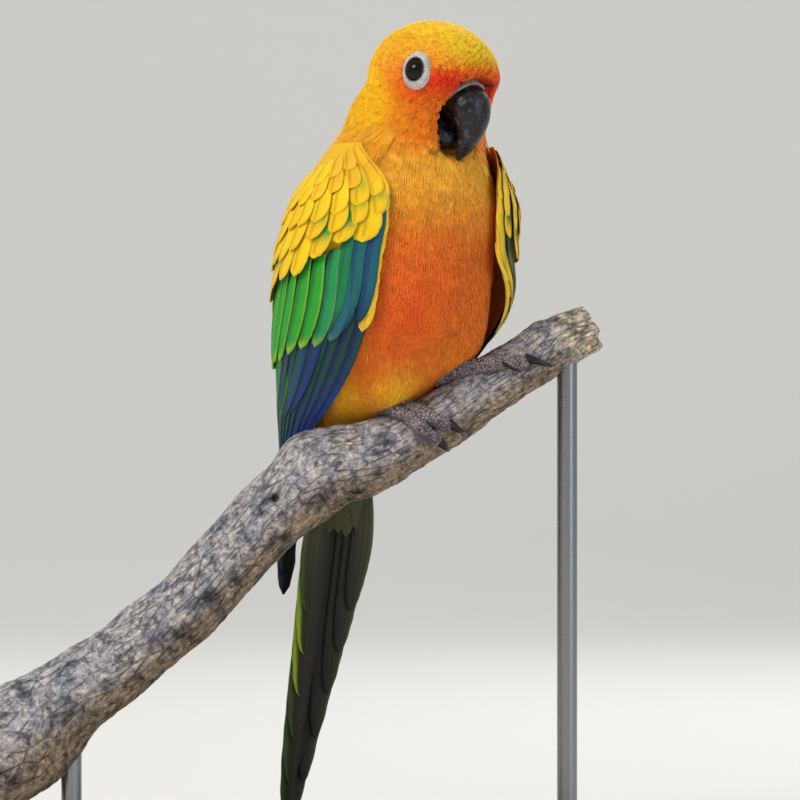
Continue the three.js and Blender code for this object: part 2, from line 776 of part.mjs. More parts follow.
// A tapered tube through points, given in the part's frame
function tube(points, radii, sides, steps) {
  const line = new THREE.CatmullRomCurve3(points, false, "centripetal");
  const numbered = radii.map((r, i) => ({ r, i: i / (radii.length - 1) }));
  const sections = Array.from({ length: steps + 1 }, (_, k) => {
    const t = k / steps;
    const ahead = line.getTangent(t);
    const side = new THREE.Vector3().crossVectors(ahead, new THREE.Vector3(0.3, 1, 0.2)).normalize();
    const up = new THREE.Vector3().crossVectors(side, ahead).normalize();
    const r = between(numbered, t, "r", "i");
    return { at: line.getPoint(t), side, up, w: r, h: r };
  });
  return solidOf(sectionLoft(sections, sides));
}

// Points of a path that wraps the perch from the top: turn in degrees, drift in millimetres, off above the bark
function wrap(along, from, to, drift, off, count) {
  const length = perchLine.getLength();
  return Array.from({ length: count }, (_, i) => {
    const t = i / (count - 1);
    const lift = off(t);
    return perchPoint(along + (drift * t) / length, radians(mix(from, to, t)), lift);
  });
}

function toePad(foot, toe, off) {
  const [turn, drift] = toe;
  const path = wrap(perchShare(foot.x), foot.tilt, turn, drift, () => TOE_RADIUS * 0.86, 7);
  const radii = [1.12, 1, 0.93, 1.02, 0.86, 0.95, 0.78].map((r) => r * TOE_RADIUS + off);
  return tube(path, radii, 7, 6);
}

function footSolid(name, toBird, off) {
  const foot = FEET[name];
  const ankle = new THREE.Vector3(...foot.ankle).applyMatrix4(toBird.clone().invert());
  const heel = perchPoint(perchShare(foot.x), radians(foot.tilt), TOE_RADIUS * 0.9);
  const middle = ankle.clone().lerp(heel, 0.55).add(new THREE.Vector3(0, 0, 1));
  const radii = [1, 0.95, 1.15].map((r) => r * SHANK_RADIUS + off);
  const pieces = [tube([ankle, middle, heel], radii, 8, 4)];
  foot.toes.forEach((toe) => pieces.push(toePad(foot, toe, off)));
  return moved(join(pieces), toBird);
}

// A claw carries on from its toe's tip, curving down onto the bark and tapering
function clawSolid(name, toe, off) {
  const foot = FEET[name];
  const [turn, drift] = toe;
  const sign = Math.sign(turn);
  const length = perchLine.getLength();
  const start = perchShare(foot.x) + drift / length;
  const bend = drift * 0.28;
  const path = wrap(
    start,
    turn - sign * 5,
    turn + sign * CLAW_LENGTH_DEG,
    bend,
    (t) => mix(TOE_RADIUS * 0.95, 0.75, t ** 1.6) + 1.1 * Math.sin(Math.PI * t),
    6,
  );
  const radii = [1.75, 1.6, 1.35, 1.05, 0.75, 0.45].map((r) => r + off);
  return tube(path, radii, 6, 4);
}

const colours = {
  yellow: 0xf5c518,
  orange: 0xf2912c,
  green: 0x2f9a2c,
  olive: 0x55581f,
  bill: 0x2e2f36,
  ring: 0xe4e0dd,
  eye: 0x17110f,
  foot: 0x8f8386,
  claw: 0x3b383a,
  bark: 0x8b8682,
  base: 0x2b2622,
  steel: 0xb8babd,
};

function named(name, solid, colour, roughness = 0.8, metalness = 0) {
  const mesh = new THREE.Mesh(
    geometryOf(solid),
    new THREE.MeshStandardMaterial({ color: colour, roughness, metalness }),
  );
  mesh.name = name;
  return mesh;
}

function buildStand() {
  const stand = new THREE.Group();
  const base = named("stand_base", baseSolid(), colours.base, 0.45);
  stand.add(base);
  rodPlaces().forEach((place, i) => {
    stand.add(named(`stand_rod_${i + 1}`, rodSolid(place, 0, 0), colours.steel, 0.3, 1));
  });
  return stand;
}

function buildPerch() {
  const sockets = rodPlaces().map((place) => rodSolid(place, GAP, GAP));
  return named("perch", largest(perchSolid(0).subtract(join(sockets))), colours.bark, 0.9);
}

function buildBird() {
  const bird = new THREE.Group();
  bird.position.set(BIRD_X, 0, PERCH_HEIGHT);
  bird.rotation.z = BIRD_TURN;
  bird.updateMatrix();
  const toBird = bird.matrix.clone().invert();
  const perchRoom = moved(perchSolid(GAP), toBird);

  const thighs = { right: thighSolid("right", 0), left: thighSolid("left", 0) };
  const footRoom = { right: footSolid("right", toBird, GAP), left: footSolid("left", toBird, GAP) };

  // Flesh: one body, parted into torso, neck and head by thin level and sloping cuts
  const flesh = join([torsoSolid(0), headSolid()]).subtract(faceHollow());
  const neckSlope = new THREE.Vector3(0, -HEAD_CUT_SLOPE, 1).normalize();
  const neckAt = neckSlope.dot(new THREE.Vector3(0, 0, HEAD_CUT_BACK));
  const above = (solid, normal, at) => solid.trimByPlane(normal.toArray(), at);
  const up = new THREE.Vector3(0, 0, 1);
  const down = up.clone().negate();
  const head = above(flesh, neckSlope, neckAt);
  const neck = above(above(flesh, neckSlope.clone().negate(), GAP - neckAt), up, NECK_BOTTOM + GAP);
  const torso = above(flesh, down, -NECK_BOTTOM);

  const upper = billSolid(UPPER_BILL, 0);
  const upperRoom = billSolid(UPPER_BILL, GAP);
  const cereRoom = billSolid(CERE, GAP);
  const cere = billSolid(CERE, 0).subtract(upperRoom);
  const lower = billSolid(LOWER_BILL, 0).subtract(upperRoom).subtract(cereRoom);
  const sockets = [-1, 1].flatMap((side) => [eyeSocket(side), eyeBall(side, GAP)]);
  const billRoom = join([upperRoom, billSolid(LOWER_BILL, GAP), cereRoom]);
  const nostrils = join([nostrilSolid(-1), nostrilSolid(1)]);

  bird.add(named("head", largest(head.subtract(join(sockets)).subtract(billRoom)), colours.yellow));
  bird.add(named("neck", largest(neck.subtract(billRoom)), colours.orange));
  const legRoom = join([thighSolid("right", GAP), thighSolid("left", GAP), footRoom.right, footRoom.left]);
  const torsoRoom = join([perchRoom, legRoom, billRoom]);
  bird.add(named("torso", largest(torso.subtract(torsoRoom), TORSO_TIDY), colours.orange));
  bird.add(named("cere", largest(cere.subtract(nostrils)), colours.ring));
  bird.add(named("bill_upper", upper, colours.bill, 0.35));
  bird.add(named("bill_lower", largest(lower), colours.bill, 0.4));
  for (const [name, side] of [["right", -1], ["left", 1]]) {
    bird.add(named(`eye_${name}`, eyeBall(side, 0), colours.eye, 0.1));
    bird.add(named(`eye_ring_${name}`, eyeRing(side), colours.ring));
    bird.add(named(`wing_${name}`, wingSolid(side), colours.green));
    const thigh = thighs[name].subtract(perchRoom).subtract(footRoom[name]);
    bird.add(named(`thigh_${name}`, largest(thigh), colours.orange));
    const claws = FEET[name].toes.map((toe) => clawSolid(name, toe, 0));
    const clawRoom = join(FEET[name].toes.map((toe) => clawSolid(name, toe, GAP)));
    const foot = footSolid(name, toBird, 0).subtract(perchRoom).subtract(moved(clawRoom, toBird));
    bird.add(named(`foot_${name}`, largest(foot), colours.foot));
    claws.forEach((claw, i) => {
      const cut = moved(claw, toBird).subtract(perchRoom);
      bird.add(named(`claw_${name}_${i + 1}`, largest(cut), colours.claw, 0.4));
    });
  }
  bird.add(named("tail", tailSolid(), colours.olive));
  return bird;
}

const conure = new THREE.Group();
conure.add(buildStand(), buildPerch(), buildBird());
export default conure;
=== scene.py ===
"""Looks of a life-size sun conure that grips a cut length of branch, held over a flat base by two rods.

Shapes are worked out in millimetres in the bird's own frame, where x points to its left side, y to its back
and z up, or in the model's frame, and are written to the meshes in metres.
"""

import sys

import logging
import math
from dataclasses import dataclass
from enum import Enum

import bpy
import numpy as np
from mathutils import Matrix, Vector


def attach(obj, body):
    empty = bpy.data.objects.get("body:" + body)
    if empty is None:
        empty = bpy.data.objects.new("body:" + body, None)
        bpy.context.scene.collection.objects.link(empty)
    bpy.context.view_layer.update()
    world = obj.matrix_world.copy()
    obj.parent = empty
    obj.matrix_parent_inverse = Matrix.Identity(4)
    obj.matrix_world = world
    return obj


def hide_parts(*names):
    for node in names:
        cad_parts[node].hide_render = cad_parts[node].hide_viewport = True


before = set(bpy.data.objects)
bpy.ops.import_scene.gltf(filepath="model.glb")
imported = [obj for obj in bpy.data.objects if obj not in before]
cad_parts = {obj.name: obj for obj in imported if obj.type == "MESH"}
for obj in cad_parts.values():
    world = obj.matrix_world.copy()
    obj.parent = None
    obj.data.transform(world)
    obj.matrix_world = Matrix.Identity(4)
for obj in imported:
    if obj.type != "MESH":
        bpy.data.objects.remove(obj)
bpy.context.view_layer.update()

LOG = logging.getLogger("conure")
Array = np.ndarray
Material = bpy.types.Material
Piece = bpy.types.Object
Tree = bpy.types.NodeTree

# Place of the bird's own frame in the model's frame, in millimetres and degrees
PERCH_HEIGHT = 161.5
BIRD_X = -1.4
BIRD_TURN = 35.0
PERCH_PLAN_TURN = 9.0


class Space(Enum):
    """Frame that a shape's points are given in."""

    BIRD = "bird"
    MODEL = "model"


class Side(Enum):
    """The bird's right and left side, as the sign of x."""

    RIGHT = -1
    LEFT = 1

    @property
    def label(self) -> str:
        """Name of the side in the CAD nodes' names."""
        return self.name.lower()


# Arrays and curves


class Stations:
    """Smooth values between stations: a cubic through them, with each slope set by its neighbours."""

    def __init__(self, keys: str, rows: list[tuple[float, ...]]) -> None:
        """Keeps the table.

        Args:
            keys: Column names, the first being what the others depend on.
            rows: One tuple of numbers for each station.
        """
        table = np.array(rows, float)
        self.at = table[:, 0]
        self.columns = {key: table[:, i + 1] for i, key in enumerate(keys.split()[1:])}

    def __call__(self, key: str, at: Array) -> Array:
        """Value of one column at the given places, held constant past both ends.

        Args:
            key: Column name.
            at: Places along the first column.

        Returns:
            Values with the shape of at.
        """
        x, y = self.at, self.columns[key]
        low, high = np.maximum(np.arange(len(x)) - 1, 0), np.minimum(np.arange(len(x)) + 1, len(x) - 1)
        slope = (y[high] - y[low]) / (x[high] - x[low])
        at = np.clip(at, x[0], x[-1])
        i = np.clip(np.searchsorted(x, at, side="right") - 1, 0, len(x) - 2)
        span = x[i + 1] - x[i]
        t = (at - x[i]) / span
        t2, t3 = t * t, t * t * t
        return (
            (2 * t3 - 3 * t2 + 1) * y[i]
            + (t3 - 2 * t2 + t) * span * slope[i]
            + (3 * t2 - 2 * t3) * y[i + 1]
            + (t3 - t2) * span * slope[i + 1]
        )


def mix(a: Array, b: Array, t: Array) -> Array:
    """Straight blend from a to b."""
    return a + (b - a) * t


def step(low: float, high: float, x: Array) -> Array:
    """Smooth step from 0 at low to 1 at high; high may be the smaller."""
    t = np.clip((x - low) / (high - low), 0, 1)
    return t * t * (3 - 2 * t)


def unit(v: Array) -> Array:
    """Vectors of length one along the last axis."""
    return v / np.maximum(np.linalg.norm(v, axis=-1, keepdims=True), 1e-9)


def turned(points: Array, degrees: float, axis: int) -> Array:
    """Points turned about a main axis by the right-hand rule.

    Args:
        points: Array that ends in three coordinates.
        degrees: Angle of the turn.
        axis: 0 for x, 1 for y and 2 for z.

    Returns:
        The turned points.
    """
    a, b = [(1, 2), (2, 0), (0, 1)][axis]
    c, s = math.cos(math.radians(degrees)), math.sin(math.radians(degrees))
    out = np.array(points, float)
    out[..., a] = points[..., a] * c - points[..., b] * s
    out[..., b] = points[..., a] * s + points[..., b] * c
    return out


_LATTICE = np.random.default_rng(11).random((32, 32, 32))


def noise(points: Array, size: float, seed: float = 0.0) -> Array:
    """Soft random value from -1 to 1: a lattice of random numbers, blended smoothly between its corners.

    Args:
        points: Array that ends in three coordinates.
        size: Width of one lattice cell, in the points' unit.
        seed: Shift that gives another field.

    Returns:
        One value for each point.
    """
    p = np.asarray(points, float) / size + seed * 7.31 + 100.0
    low = np.floor(p).astype(int)
    f = p - low
    f = f * f * (3 - 2 * f)
    total = np.zeros(p.shape[:-1])
    for corner in range(8):
        bits = np.array([corner & 1, corner >> 1 & 1, corner >> 2 & 1])
        i = (low + bits) % 32
        weight = np.prod(np.where(bits, f, 1 - f), axis=-1)
        total += weight * _LATTICE[i[..., 0], i[..., 1], i[..., 2]]
    return total * 2 - 1


def to_model(points: Array, space: Space) -> Array:
    """Points in metres in the model's frame.

    Args:
        points: Points in millimetres.
        space: Frame that they are given in.

    Returns:
        An array of the same shape.
    """
    if space is Space.BIRD:
        points = turned(points, BIRD_TURN, 2) + np.array([BIRD_X, 0, PERCH_HEIGHT])
    return points * 0.001


# Colours, meshes and nodes


def hex_colour(text: str) -> Array:
    """Linear red, green and blue of an sRGB hex value."""
    srgb = np.array([int(text[i : i + 2], 16) for i in (1, 3, 5)]) / 255
    return np.where(srgb <= 0.04045, srgb / 12.92, ((srgb + 0.055) / 1.055) ** 2.4)


def laid(colour: Array, text: str, mask: Array) -> Array:
    """Blends a colour over others.

    Args:
        colour: Linear colours, one for each point.
        text: sRGB hex value of the colour on top.
        mask: Its share at each point, held between 0 and 1.

    Returns:
        Linear colours.
    """
    return mix(colour, hex_colour(text), np.clip(mask, 0, 1)[:, None])


def make_piece(
    name: str, points: Array, faces: Array, space: Space, material: Material,
    colour: Array | None = None, vane: Array | None = None, bake: Array | None = None,
) -> Piece:
    """Writes arrays into a mesh object that rides on the model.

    Args:
        name: Object name.
        points: Points in millimetres, in the frame that space names.
        faces: Rows of point numbers, all three or all four long.
        space: Frame of the points.
        material: Its finish.
        colour: Linear colour of each point, kept as the attribute Marking.
        vane: Across and along each feather in millimetres at each point, kept as the UV map Vane.
        bake: Place of each point on the unwrap, kept as the UV map OFBake.

    Returns:
        The new object.
    """
    mesh = bpy.data.meshes.new(name)
    count, sides = faces.shape
    mesh.vertices.add(len(points))
    mesh.vertices.foreach_set("co", to_model(points, space).astype(np.float32).ravel())
    mesh.loops.add(count * sides)
    mesh.loops.foreach_set("vertex_index", faces.astype(np.int32).ravel())
    mesh.polygons.add(count)
    mesh.polygons.foreach_set("loop_start", np.arange(0, count * sides, sides, dtype=np.int32))
    mesh.polygons.foreach_set("use_smooth", np.ones(count, bool))
    if colour is not None:
        layer = mesh.color_attributes.new("Marking", "FLOAT_COLOR", "POINT")
        rgba = np.concatenate([colour, np.ones((len(points), 1))], axis=1)
        layer.data.foreach_set("color", rgba.astype(np.float32).ravel())
    for title, uv in (("OFBake", bake), ("Vane", vane)):
        if uv is not None:
            layer = mesh.uv_layers.new(name=title)
            layer.uv.foreach_set("vector", uv[faces.ravel()].astype(np.float32).ravel())
    mesh.update(calc_edges=True)
    mesh.validate()
    mesh.materials.append(material)
    piece = bpy.data.objects.new(name, mesh)
    bpy.context.scene.collection.objects.link(piece)
    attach(piece, "root")
    LOG.info("%s: %d points, %d faces", name, len(points), count)
    return piece


def grid_faces(rows: int, columns: int, around: bool = False) -> Array:
    """Quads of a grid of points, numbered row by row.

    Args:
        rows: Points down the grid.
        columns: Points across it.
        around: Whether the last column joins the first.

    Returns:
        Rows of four point numbers.
    """
    r, c = np.meshgrid(np.arange(rows - 1), np.arange(columns if around else columns - 1), indexing="ij")
    n = (c + 1) % columns
    return np.stack(
        [r * columns + c, r * columns + n, (r + 1) * columns + n, (r + 1) * columns + c], -1
    ).reshape(-1, 4)


def many_faces(one: Array, points_each: int, count: int) -> Array:
    """The faces of one shape, repeated for count shapes that follow each other."""
    return (one[None] + (np.arange(count) * points_each)[:, None, None]).reshape(-1, one.shape[1])


def set_inputs(tree: Tree, node: bpy.types.Node, **inputs: object) -> None:
    """Sets or links inputs of a node.

    Args:
        tree: Node tree that the node is in.
        node: The node.
        **inputs: Input values by name, with _ for a blank, or as _ and a number for the n-th input of all.
            A socket is linked and anything else is set.
    """
    for key, value in inputs.items():
        socket = node.inputs[int(key[1:])] if key[1:].isdigit() else node.inputs[key.replace("_", " ")]
        if isinstance(value, bpy.types.NodeSocket):
            tree.links.new(value, socket)
        else:
            socket.default_value = value


def add_node(tree: Tree, kind: str, settings: dict | None = None, **inputs: object) -> bpy.types.Node:
    """Adds a node with its settings and inputs.

    Args:
        tree: Node tree that it goes into.
        kind: Node type, such as ShaderNodeTexNoise.
        settings: Attributes to set on the node.
        **inputs: Inputs, as set_inputs takes them.

    Returns:
        The new node.
    """
    made = tree.nodes.new(kind)
    for key, value in (settings or {}).items():
        setattr(made, key, value)
    set_inputs(tree, made, **inputs)
    return made


def rgba(text: str) -> tuple[float, float, float, float]:
    """Linear colour with alpha of an sRGB hex value."""
    return (*hex_colour(text).tolist(), 1.0)


def new_material(name: str) -> tuple[Material, Tree, bpy.types.Node]:
    """An empty material, its node tree and its main shader."""
    material = bpy.data.materials.new(name)
    material.use_nodes = True
    tree = material.node_tree
    return material, tree, tree.nodes["Principled BSDF"]


def ramp(tree: Tree, factor: bpy.types.NodeSocket, stops: list[tuple[float, str]]) -> bpy.types.NodeSocket:
    """Colour that runs through stops.

    Args:
        tree: Node tree.
        factor: Value from 0 to 1.
        stops: Place and sRGB hex value of each stop.

    Returns:
        The colour output.
    """
    made = add_node(tree, "ShaderNodeValToRGB", Fac=factor)
    band = made.color_ramp
    while len(band.elements) < len(stops):
        band.elements.new(0.5)
    for element, (place, text) in zip(band.elements, stops):
        element.position = place
        element.color = rgba(text)
    return made.outputs["Color"]


# The bird's form, from the same named sizes as its solids

BODY = Stations(
    "z front back half",
    [
        (-14, 25, 37.5, 8.5), (0, 1, 39, 19.5), (10, -11, 39.5, 25.5), (18, -19.5, 40, 30),
        (28, -27, 39, 33.6), (40, -30.8, 36.5, 35.4), (54, -32.5, 32, 36.5), (68, -35, 26, 35),
        (80, -34.5, 22.5, 30.5), (90, -34, 16.8, 26.5), (100, -35.5, 12, 24.6), (108, -35.5, 7.5, 22.5),
        (116, -33, 0.5, 19),
    ],
)
# What the wings lie on: the torso's outline, carried on past the vent
CARRIER = Stations(
    "z front back half",
    [
        (-66, 40, 51, 13.5), (-40, 35, 48, 15.5), (-14, 24, 45, 18.5), (4, -5, 43.6, 26.4),
        (16, -19, 42.4, 30.9), (28, -28.1, 40.3, 34.7), (40, -31.8, 37.5, 36.4), (54, -33.3, 32.8, 37.3),
        (68, -35.8, 26.8, 35.8), (80, -36.6, 23.4, 31.4), (92, -37.4, 16.6, 27),
    ],
)
# Each wing's front and back edge in degrees from the breast's middle line
WING_EDGES = Stations(
    "z front back",
    [
        (-66, 108, 158), (-30, 91, 160), (4, 58, 164), (28, 45, 160), (54, 41, 150), (68, 41, 142),
        (80, 50, 136), (92, 76, 110),
    ],
)
WING_CLEAR = 0.9
TAIL_TOP = -14.35
TAIL_ROOT_Y = 32.0
TAIL_LEAN = 0.235


def wing_shift(z: Array, side: Side) -> Array:
    """How far a wing's front edge is turned back: the left one lies further forward on the breast and
    further back on the belly.

    Args:
        z: Heights.
        side: Which wing.

    Returns:
        Degrees, one for each height.
    """
    return mix(12.0, -9.0, step(28, 56, z)) if side is Side.LEFT else 0.0 * z


def section_point(stations: Stations, z: Array, angle: Array, off: Array) -> Array:
    """Point of a level elliptical section: half width times the sine of the angle from the front, and depth
    times its cosine, both widened by off.

    Args:
        stations: Table of front, back and half width by height.
        z: Heights.
        angle: Angles in radians from the front towards the bird's left.
        off: How far the point stands off the table's own outline.

    Returns:
        Points in the bird's frame.
    """
    z, angle, off = np.broadcast_arrays(z, angle, off)
    front, back, half = (stations(key, z) for key in ("front", "back", "half"))
    return np.stack(
        [(half + off) * np.sin(angle), (front + back) / 2 - ((back - front) / 2 + off) * np.cos(angle), z],
        axis=-1
    )


@dataclass(frozen=True)
class HeadForm:
    """The head: an egg about its own centre, turned further than the body and tipped down."""

    centre: tuple[float, float, float] = (0.0, -22.5, 113.0)
    turn: float = 15.0
    tip: float = 7.0
    half_width: float = 22.4
    front: float = 24.0
    back: float = 23.5
    up: float = 20.5
    down: float = 23.0
    recede: float = 7.5
    eye_forward: float = 8.8
    eye_up: float = 2.8
    eye_narrow: float = 0.78

    def to_bird(self, points: Array) -> Array:
        """Points of the head's frame in the bird's frame."""
        return turned(turned(points, self.tip, 0), self.turn, 2) + np.array(self.centre)

    def from_bird(self, points: Array) -> Array:
        """Points of the bird's frame in the head's frame."""
        return turned(turned(points - np.array(self.centre), -self.turn, 2), -self.tip, 0)

    def distance(self, points: Array) -> Array:
        """Rough distance of points from the head's surface: length of the point divided by the egg's half
        sizes, less one, times their mean. The lower face is drawn back under the bill.

        Args:
            points: Points in the bird's frame.

        Returns:
            Distances, negative inside.
        """
        q = self.from_bird(points)
        x, f, u = q[..., 0], -q[..., 1], q[..., 2]
        lower = np.clip(0.1 - u / self.down, 0, 0.55) * 1.8
        f = f + self.recede * np.clip(f / self.front, 0, 1) ** 1.5 * lower
        scaled = np.stack(
            [
                x / self.half_width, f / np.where(f > 0, self.front, self.back),
                u / np.where(u > 0, self.up, self.down)
            ],
            -1
        )
        return (np.linalg.norm(scaled, axis=-1) - 1) * 22.0

    def eye_axes(self, side: Side) -> tuple[Array, Array, Array, Array]:
        """Place of an eye in the head's frame.

        Args:
            side: Which eye.

        Returns:
            Centre of its ring, the direction that it looks in, and its level and rising directions.
        """
        across = self.half_width * math.sqrt(
            1 - (self.eye_forward / self.front) ** 2 - (self.eye_up / self.up) ** 2
        )
        at = np.array([side.value * across, -self.eye_forward, self.eye_up])
        look = unit(at / np.array([self.half_width, self.front, self.up]) ** 2)
        level = unit(np.cross(look, np.array([0.0, 0, 1])))
        return at, look, level, np.cross(level, look)

    def eye_reach(self, points: Array, side: Side) -> Array:
        """How far points are from an eye's axis, in the measure of its narrow oval.

        Args:
            points: Points in the head's frame.
            side: Which eye.

        Returns:
            Distances in millimetres, very large for points behind the eye.
        """
        at, look, level, rise = self.eye_axes(side)
        away = points - at
        reach = np.hypot(away @ level / self.eye_narrow, away @ rise)
        return np.where(away @ look > -9, reach, 99.0)


HEAD = HeadForm()


@dataclass(frozen=True)
class Bulge:
    """A rounded mass under the skin: a ball with three half sizes."""

    centre: tuple[float, float, float]
    size: tuple[float, float, float]

    def distance(self, points: Array) -> Array:
        """Rough distance from the ball's surface, negative inside."""
        scaled = (points - np.array(self.centre)) / np.array(self.size)
        return (np.linalg.norm(scaled, axis=-1) - 1) * min(self.size)


THIGHS = (Bulge((-6, -5, 13), (9.5, 10, 11.5)), Bulge((16.5, -11.5, 27), (8.5, 10, 11.5)))
# Hollow of the face that the bill sits in, in the head's frame
FACE_HOLLOW = Bulge((0, -18, -12.4), (10.2, 14.6, 13.4))


class BirdForm:
    """The bird's whole flesh as one smooth field, and what is worked out from it."""

    low = -15.0
    high = 134.0

    def __init__(self, inset: float) -> None:
        """Keeps how deep the skin lies inside the coat's outline, in millimetres."""
        self.inset = inset

    def distance(self, points: Array) -> Array:
        """Rough distance from the skin: torso, head and thighs joined by a smooth smallest value, less the
        hollow of the face by a smooth largest one. The torso tapers into the head by a square of the
        height.

        Args:
            points: Points in the bird's frame.

        Returns:
            Distances in millimetres, negative inside.
        """
        z = points[..., 2]
        front, back, half = (BODY(key, z) for key in ("front", "back", "half"))
        depth = (back - front) / 2
        across = np.hypot(points[..., 0] / half, (points[..., 1] - (front + back) / 2) / depth)
        torso = (across - 1) * np.minimum(half, depth)
        torso = torso + 0.9 * np.maximum(0, z - 104) ** 2 / 14
        torso = np.maximum(torso, np.maximum(-14 - z, z - 118))
        joined = torso
        for other, soft in [(HEAD.distance(points), 7.0)] + [
            (thigh.distance(points), 8.0) for thigh in THIGHS
        ]:
            near = np.clip(0.5 + 0.5 * (other - joined) / soft, 0, 1)
            joined = mix(other, joined, near) - soft * near * (1 - near)
        cut, soft = -FACE_HOLLOW.distance(HEAD.from_bird(points)), 2.5
        near = np.clip(0.5 - 0.5 * (cut - joined) / soft, 0, 1)
        joined = mix(cut, joined, near) + soft * near * (1 - near)
        return joined + self.inset

    def slope(self, points: Array) -> Array:
        """How fast the field grows along x, y and z, from small differences of it."""
        h = 0.25
        ends = [(self.distance(points + h * e), self.distance(points - h * e)) for e in np.eye(3)]
        return np.stack([(ahead - behind) / (2 * h) for ahead, behind in ends], axis=-1)

    def normal(self, points: Array) -> Array:
        """Direction straight out of the skin."""
        return unit(self.slope(points))

    def settle(self, points: Array, off: Array | float, rounds: int) -> Array:
        """Moves points straight in or out.

        Args:
            points: Points in the bird's frame.
            off: How far they are to stand off the skin.
            rounds: How often the move is repeated.

        Returns:
            The moved points.
        """
        for _ in range(rounds):
            value = self.distance(points) - off
            slope = self.slope(points)
            points = points - slope * (value / np.maximum((slope**2).sum(-1), 0.05))[..., None]
        return points

    def spine_y(self, z: Array) -> Array:
        """Depth of the spine at each height: the torso's middle, which leans into the head's."""
        middle = (BODY("front", z) + BODY("back", z)) / 2
        return mix(middle, HEAD.centre[1] - 1.0, step(88, 112, z))

    def surface(self, z: Array, angle: Array) -> Array:
        """Outermost point of the skin along level rays from a spine that leans from the belly into the
        head.

        Args:
            z: Heights.
            angle: Angles in radians from the front towards the bird's left.

        Returns:
            Points in the bird's frame.
        """
        z, angle = np.broadcast_arrays(z, angle)
        ray = np.stack([np.sin(angle), -np.cos(angle), np.zeros_like(angle)], axis=-1)
        start = np.stack([0.6 * step(100, 130, z), self.spine_y(z), z], axis=-1)
        reach = np.linspace(0, 52, 53)
        inside = np.stack([self.distance(start + ray * r) < 0 for r in reach], axis=0)
        last = len(reach) - 1 - np.argmax(inside[::-1], axis=0)
        low = np.where(inside.any(axis=0), reach[last], 0.0)
        high = low + reach[1]
        for _ in range(9):
            mean = (low + high) / 2
            within = self.distance(start + ray * mean[..., None]) < 0
            low, high = np.where(within, mean, low), np.where(within, high, mean)
        return start + ray * low[..., None]

    def unwrap(self, points: Array) -> Array:
        """Place on the skin's own unwrap: the turn round the spine and the share of the height."""
        z = points[..., 2]
        turn = np.arctan2(points[..., 0], self.spine_y(z) - points[..., 1])
        return np.stack(
            [(turn / (2 * np.pi)) % 1.0, (z - self.low - 60) / (self.high - self.low + 60)], axis=-1
        )


def plumage_lie(points: Array, normals: Array) -> Array:
    """Direction that feathers lie in: away from the bill's base on the head, and down the body below the
    throat, laid flat on the skin.

    Args:
        points: Points in the bird's frame.
        normals: Directions out of the skin there.

    Returns:
        Vectors of length one.
    """
    bill = HEAD.to_bird(np.array([0.0, -17.0, -2.0]))
    away = unit(points - bill)
    down = np.array([0.0, 0.12, -1.0]) + points * np.array([0.006, 0.0, 0.0])
    lie = mix(unit(down), away + np.array([0.0, 0.1, -0.25]), step(84, 104, points[..., 2])[..., None])
    return unit(lie - normals * (lie * normals).sum(-1, keepdims=True))


# Markings and painted shade


def spot(points: Array, centre: tuple[float, float, float], size: tuple[float, float, float]) -> Array:
    """Soft patch: falls from 1 at its centre to 0 about its size away, as the exponential of a squared
    distance."""
    far = ((points - np.array(centre)) / np.array(size)) ** 2
    return np.exp(-far.sum(-1))


def body_markings_and_painted_shade(points: Array) -> Array:
    """Colour of the coat and the skin: yellow nape and back, orange face and breast, redder belly, yellow
    vent, with painted shade low on the belly and round the bill's base.

    Args:
        points: Points in the bird's frame.

    Returns:
        Linear colours.
    """
    q = HEAD.from_bird(points)
    x, f, u = np.abs(q[..., 0]), -q[..., 1], q[..., 2]
    z, front = points[..., 2], -points[..., 1]
    sway = noise(points, 9.0)
    colour = np.broadcast_to(hex_colour("#FFC312"), points.shape).copy()

    def lay(text: str, mask: Array) -> None:
        """Blends a colour over what is there."""
        colour[:] = mix(colour, hex_colour(text), np.clip(mask, 0, 1)[..., None])

    forward = step(-6, 12, front + 3 * sway)
    lay("#F98A26", forward * step(104, 88, z))
    lay("#FFC038", 0.85 * step(58, 84, z + 4 * sway) * step(102, 90, z) * forward)
    lay("#F06A28", 0.5 * spot(points, (6, -28, 50), (20, 20, 22)))
    lay("#F05020", 0.75 * spot(points, (-16, -26, 38), (19, 24, 25)) * (0.85 + 0.25 * sway))
    # Painted shade: a darker orange-brown low on the belly, where it turns down from the lights.
    lay("#D9862A", 0.55 * step(14, 2, z + 4 * sway))
    lay("#FFC628", 0.95 * spot(points, (-7, -14, 9), (8, 11, 9)))
    lay("#B9A030", 0.6 * step(2, -12, z))
    lay("#FB7E16", 0.9 * step(-4, 10, f) * step(8, -4, u) * step(86, 96, z))
    face = np.exp(-(((f - 17) / 9.5) ** 2 + ((u - 0.5) / 6.0) ** 2))
    around_eye = np.exp(-(((f - 10) / 9.0) ** 2 + ((u - 0.5) / 8.0) ** 2)) * step(6, 16, x)
    lay("#F0380F", 1.2 * np.maximum(face, 0.9 * around_eye) * (0.9 + 0.2 * sway))
    lay("#FB962E", 0.75 * step(5, 12, x) * step(-10, 0, f) * step(-2, 4, u) * step(17, 11, u) * (1 - face))
    lay("#FFD022", step(4, 10, u + 1.5 * sway) * (1 - 0.6 * step(6, 14, x)))
    # Painted shade: near-black on the skin in the hollow round and under the bill's base.
    lay("#120B0A", step(8.8, 7.8, x) * step(3, 6, f) * step(1.2, -0.6, u) * step(-25, -22, u))
    return np.clip(colour, 0, 1)


# Finishes


